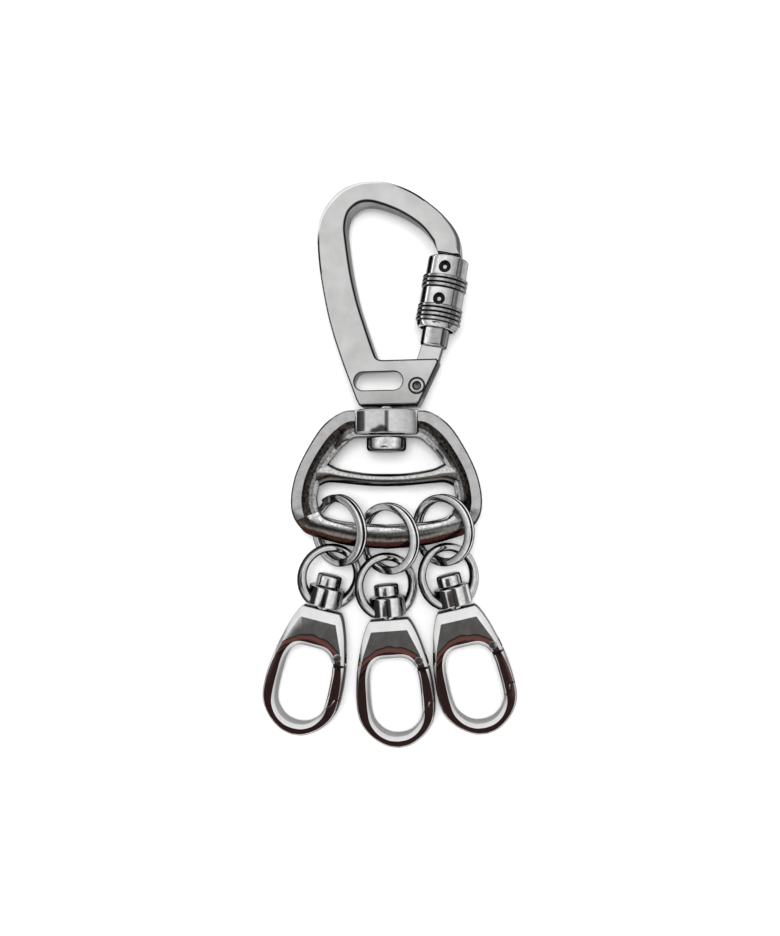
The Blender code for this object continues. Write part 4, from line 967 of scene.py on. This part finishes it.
hook = {  # pixels below and beside the hook's top, and metres
    "depth": 0.0050, "middle": 78.0, "steps": 220,
    "outerPixels": [(19.0, 0.0), (22.7, 5.0), (28.2, 18.5), (32.9, 35.0), (36.6, 51.0), (38.9, 69.0),
                    (39.6, 84.0), (38.8, 96.0), (35.4, 106.5), (28.6, 116.0), (20.0, 123.6), (10.5, 128.6),
                    (0.0, 130.3)],
    "facePixels": [(18.3, 10.7), (24.3, 25.0), (29.0, 36.0), (32.4, 48.0), (35.9, 62.0), (37.5, 74.0),
                   (37.9, 84.0), (37.0, 96.0), (33.6, 105.8), (27.2, 114.8), (19.0, 121.8), (9.9, 126.6),
                   (0.0, 128.4)],
    "innerPixels": [(0.0, 38.5), (11.5, 38.9), (18.6, 42.6), (23.0, 49.0), (25.4, 58.0), (26.3, 72.0),
                    (26.3, 90.0), (24.2, 102.0), (17.6, 111.4), (9.0, 116.8), (0.0, 118.3)],
    "lipPixels": [(0.0, 35.0), (13.0, 35.4), (21.0, 39.6), (25.6, 47.4), (27.8, 57.6), (28.4, 72.0),
                  (28.6, 90.0), (27.0, 103.4), (20.2, 114.4), (10.2, 121.0), (0.0, 122.7)],
    "bandSlots": [2] * 3 + [1] * 4 + [0] * 4 + [1] * 4 + [4],  # slots from the opening to the outside, each with its painted reflection and shade
    "outerDrop": 0.0006, "innerDrop": 0.0005, "corner": 0.00012,
    "shoulder": 49.0, "nose": [(39.6, 83.5), (34.6, 86.4), (33.0, 91.8), (26.3, 96.6)],
    "roof": [(36.4, 51.0), (24.6, 53.4)], "reach": 12.0, "pin": (27.4, 42.6), "leaf": (12.6, 33.6),
    "leafDepth": 0.0003, "cleftSide": 0.0119, "cleftDrop": 0.002, "tongueDepth": 0.0020,
    "tongueRadius": 0.0016, "tongueShares": (0.85, 0.3), "pinRadius": 0.0008, "pinSleeve": 0.0010,
    "pinPlay": 0.00003, "leverEdge": 0.0006,
}


def radiusTable(spots, closeTop=False):  # angle from straight down and distance, about the hook's middle
    curve = curveThrough([Vector((spot[0], spot[1] - hook["middle"])) for spot in spots], 10)
    if closeTop:
        first = curve[0]
        curve = [Vector((first[0] * step / 10, first[1])) for step in range(10)] + curve
    return sorted((math.atan2(point[0], point[1]), point.length * pixel) for point in curve)


def radiusAt(table, angle):
    angle = abs(angle)
    for (low, first), (high, second) in zip(table, table[1:]):
        if low <= angle <= high:
            return first + (second - first) * (angle - low) / max(high - low, 1e-9)
    return table[0][1] if angle < table[0][0] else table[-1][1]


def loopAngles():  # even steps, with one moved to each of the top's corners
    h = hook
    angles = [2 * math.pi * step / h["steps"] - math.pi for step in range(h["steps"])]
    for spot in (h["outerPixels"][0], h["facePixels"][0]):
        for sign in (-1, 1):
            corner = sign * math.atan2(spot[0], spot[1] - h["middle"])
            nearest = min(range(len(angles)), key=lambda index: abs(angles[index] - corner))
            angles[nearest] = corner
    return sorted(angles)


def hookLoopMesh():
    h = hook
    half, corner, slots = h["depth"] / 2, h["corner"], h["bandSlots"]
    tables = [radiusTable(h[name]) for name in ("innerPixels", "lipPixels")]
    tables += [radiusTable(h[name], True) for name in ("facePixels", "outerPixels")]
    centre = Vector((0, -h["middle"] * pixel))
    rings = []
    for angle in loopAngles():
        way = Vector((math.sin(angle), -math.cos(angle)))
        near, lip, face, far = (radiusAt(table, angle) for table in tables)
        side = roundedProfile([
            (near, 0), (near, half - h["innerDrop"], corner), (lip, half, corner), (face, half, corner),
            (far, half - h["outerDrop"], corner * 2), (far, 0)], 3)
        full = side[:-1] + [(radius, -height) for radius, height in reversed(side)][:-1]
        rings.append([Vector((*(centre + way * radius), height)) for radius, height in full])
    top = len(side) - 1

    def band(number, index):
        step = index if index < top else 2 * top - 1 - index
        return slots[min(step, len(slots) - 1)]
    return skinMesh("hookLoop", rings, closed=True, bands=band)


def hookRegion(shift):  # everything right of the opening, from the shoulder to the nose
    h, gap, reach = hook, carabiner["gap"], hook["reach"] * pixel
    nose = [drawn(spot) for spot in h["nose"]]
    if shift:
        moves = ((0, gap), (-gap, gap), (-gap, gap), (0, gap))
        nose = [spot + Vector(move) for spot, move in zip(nose, moves)]
        roof = [drawn(spot) for spot in h["roof"]]
        slope = (roof[0] - roof[1]).normalized()
        top = [roof[1] - slope * reach, roof[0] + slope * reach]
    else:
        level = -h["shoulder"] * pixel
        top = [Vector((10 * pixel, level)), Vector((nose[0][0] + reach, level))]
    outward = (nose[0] - nose[1]).normalized() * reach
    inward = (nose[3] - nose[2]).normalized() * reach
    return top + [nose[0] + outward] + nose + [nose[3] + inward]


def cleftOutline():  # the slot in the body that the lever's tongue and spring lie in
    h, gap, leaf = hook, carabiner["gap"], drawn(hook["leaf"])
    pin, start, level = drawn(h["pin"]), leaf[0] - h["leafDepth"], -h["shoulder"] * pixel - h["cleftDrop"]
    return arcPoints(pin, h["tongueRadius"] + gap, 0, math.pi / 2, 12) + [
        Vector((start, leaf[1] + gap)), Vector((start, level)), Vector((h["cleftSide"], level)),
        Vector((h["cleftSide"], pin[1]))]


def tongueOutline():
    h = hook
    roof = [drawn(spot) for spot in h["roof"]]
    drop = Vector((0, -h["leverEdge"] - carabiner["gap"]))
    return (arcPoints(drawn(h["pin"]), h["tongueRadius"], 0, math.pi, 20)
            + [roof[0].lerp(roof[1], share) + drop for share in h["tongueShares"]])


def buildHook(side):
    h, gap, name = hook, carabiner["gap"], side.capitalize()
    half, tongue = h["depth"] / 2, h["tongueDepth"] / 2
    place = linePlace(side, -hookYaw) @ Matrix.Translation((0, -hookTop, 0))
    pinSpot = place @ Matrix.Translation((*drawn(h["pin"]), 0))
    body, lever = [addPiece("hook" + part + name, hookLoopMesh(), place, "hookFace", "hookRim", "hookWall",
                            "groove", "hookSkirt") for part in ("Body", "Lever")]
    cut(body, prismMesh("opening", hookRegion(False), -half - past, half + past, 2), place)
    # the cleft's walls take the groove material, painted shade
    cut(body, prismMesh("cleft", cleftOutline(), -tongue - gap, tongue + gap, 3), place)
    drill(body, h["pinSleeve"] + h["pinPlay"], -half - past, half + past, pinSpot)
    drill(body, rivet["radius"] + gap, -rivet["anchor"] - gap, past, place @ onEnd)
    cut(lever, prismMesh("arm", hookRegion(True), -half - past, half + past, 2), place, "INTERSECT")
    # the tongue, which lies in the cleft, takes the groove material, painted shade
    cut(lever, prismMesh("tongue", tongueOutline(), -tongue, tongue, 3), place, "UNION")
    drill(lever, h["pinRadius"] + gap, -half, half, pinSpot)
    radius, edge = h["pinSleeve"], 0.0001
    profile = roundedProfile([(tip, -half), (radius, -half, edge), (radius, half, edge), (tip, half)])
    pivot = addPiece("leverPin" + name, turnedMesh("leverPin", profile, 32), pinSpot, "hookPin")
    settle(body, "hook_" + side, "hook_chrome", "hook_body_" + side)
    settle(lever, "lever_" + side, "lever_chrome", "hook_lever_" + side)
    settle(pivot, "hook_" + side, "rivet_chrome", "hook_lever_pin_" + side)


for side in sides:
    buildHook(side)
print("hooks made")


# materials on the nodes that stay

for node in ["gate_spring"] + ["hook_spring_" + side for side in sides]:
    mesh = frame["nodes"][node].data
    mesh.materials.clear()
    mesh.materials.append(paintedReflectionFinish["spring"])


# floor, light and camera

studio = {
    "floorSize": 4.0, "floorDrop": 0.0002, "paper": 0.97, "paperRough": 0.9,
    "middlePixel": (390.0, 468.0), "footPixel": (390.0, 520.0), "imageHeight": 936,
    "cameraHeight": 0.230, "plane": 0.007, "sensor": 36.0,
    "lampPower": 7.0, "lampSize": 0.5, "lampSpot": (-0.08, 0.08, 1.0),
    # the room's grey from straight down, -1, to straight up, 1
    "levels": [(-1.0, 0.40), (-0.1, 0.40), (0.0, 0.42), (0.18, 0.45), (0.42, 0.90), (1.0, 0.98)],
    # dark cards in the room: direction, width and colour
    "cards": [((-0.19, -0.27, 0.94), 0.225, (0.080, 0.075, 0.070)),
              ((-0.42, -0.38, 0.82), 0.22, (0.060, 0.050, 0.046)),
              ((0.04, -0.46, 0.89), 0.14, (0.060, 0.050, 0.046))],
    "cardSoft": 0.05,
}


def addFloor():
    half, z = studio["floorSize"] / 2, cadBox[0][2] - studio["floorDrop"]
    mesh = bpy.data.meshes.new("floor")
    corners = [(-half, -half, z), (half, -half, z), (half, half, z), (-half, half, z)]
    mesh.from_pydata(corners, [], [(0, 1, 2, 3)])
    material, tree, shader = newMaterial("paper")
    shader.inputs["Base Color"].default_value = (*[studio["paper"]] * 3, 1.0)
    shader.inputs["Roughness"].default_value = studio["paperRough"]
    shader.inputs["Specular IOR Level"].default_value = 0.0
    mesh.materials.append(material)
    addObject("floor", mesh)


def addLamp():  # lights the paper from above and stays out of the reflections
    light = bpy.data.lights.new("overhead", "AREA")
    light.energy, light.shape, light.size = studio["lampPower"], "DISK", studio["lampSize"]
    lamp = addObject("overhead", light)
    lamp.location = studio["lampSpot"]
    lamp.visible_glossy = False


def addRoom():
    world = bpy.data.worlds.new("room")
    world.use_nodes = True
    bpy.context.scene.world = world
    tree = world.node_tree
    where = addNode(tree, "TexCoord", {}).outputs["Generated"]
    rise = addRange(tree, addNode(tree, "SeparateXYZ", {0: where}).outputs[2], -1.0, 1.0)
    stops = [(0.5 + 0.5 * height, grey(grade)) for height, grade in studio["levels"]]
    level = addRamp(tree, rise, stops).outputs[0]
    soft = studio["cardSoft"]
    for direction, width, colour in studio["cards"]:
        inputs = {0: where, 1: Vector(direction).normalized()}
        away = addNode(tree, "VectorMath", inputs, operation="DISTANCE").outputs["Value"]
        outside = addRange(tree, away, width - soft, width + soft, curve="SMOOTHSTEP")
        level = mixColours(tree, outside, (*colour, 1.0), level)
    tree.links.new(level, tree.nodes["Background"].inputs[0])


def addCamera():
    s = studio
    camera = addObject("camera", bpy.data.cameras.new("camera"))
    shot = camera.data
    shot.sensor_fit, shot.sensor_height = "VERTICAL", s["sensor"]
    shot.lens = s["sensor"] * s["cameraHeight"] / (s["imageHeight"] * pixel)
    across, up = fromPin(s["footPixel"])
    camera.location = pinPlace.translation + Vector((across, up, 0))
    camera.location[2] = s["plane"] + s["cameraHeight"]
    shot.shift_y = (s["footPixel"][1] - s["middlePixel"][1]) / s["imageHeight"]
    bpy.context.scene.camera = camera
    bpy.context.scene.view_settings.view_transform = "Standard"


addFloor()
addLamp()
addRoom()
addCamera()
print("studio made")
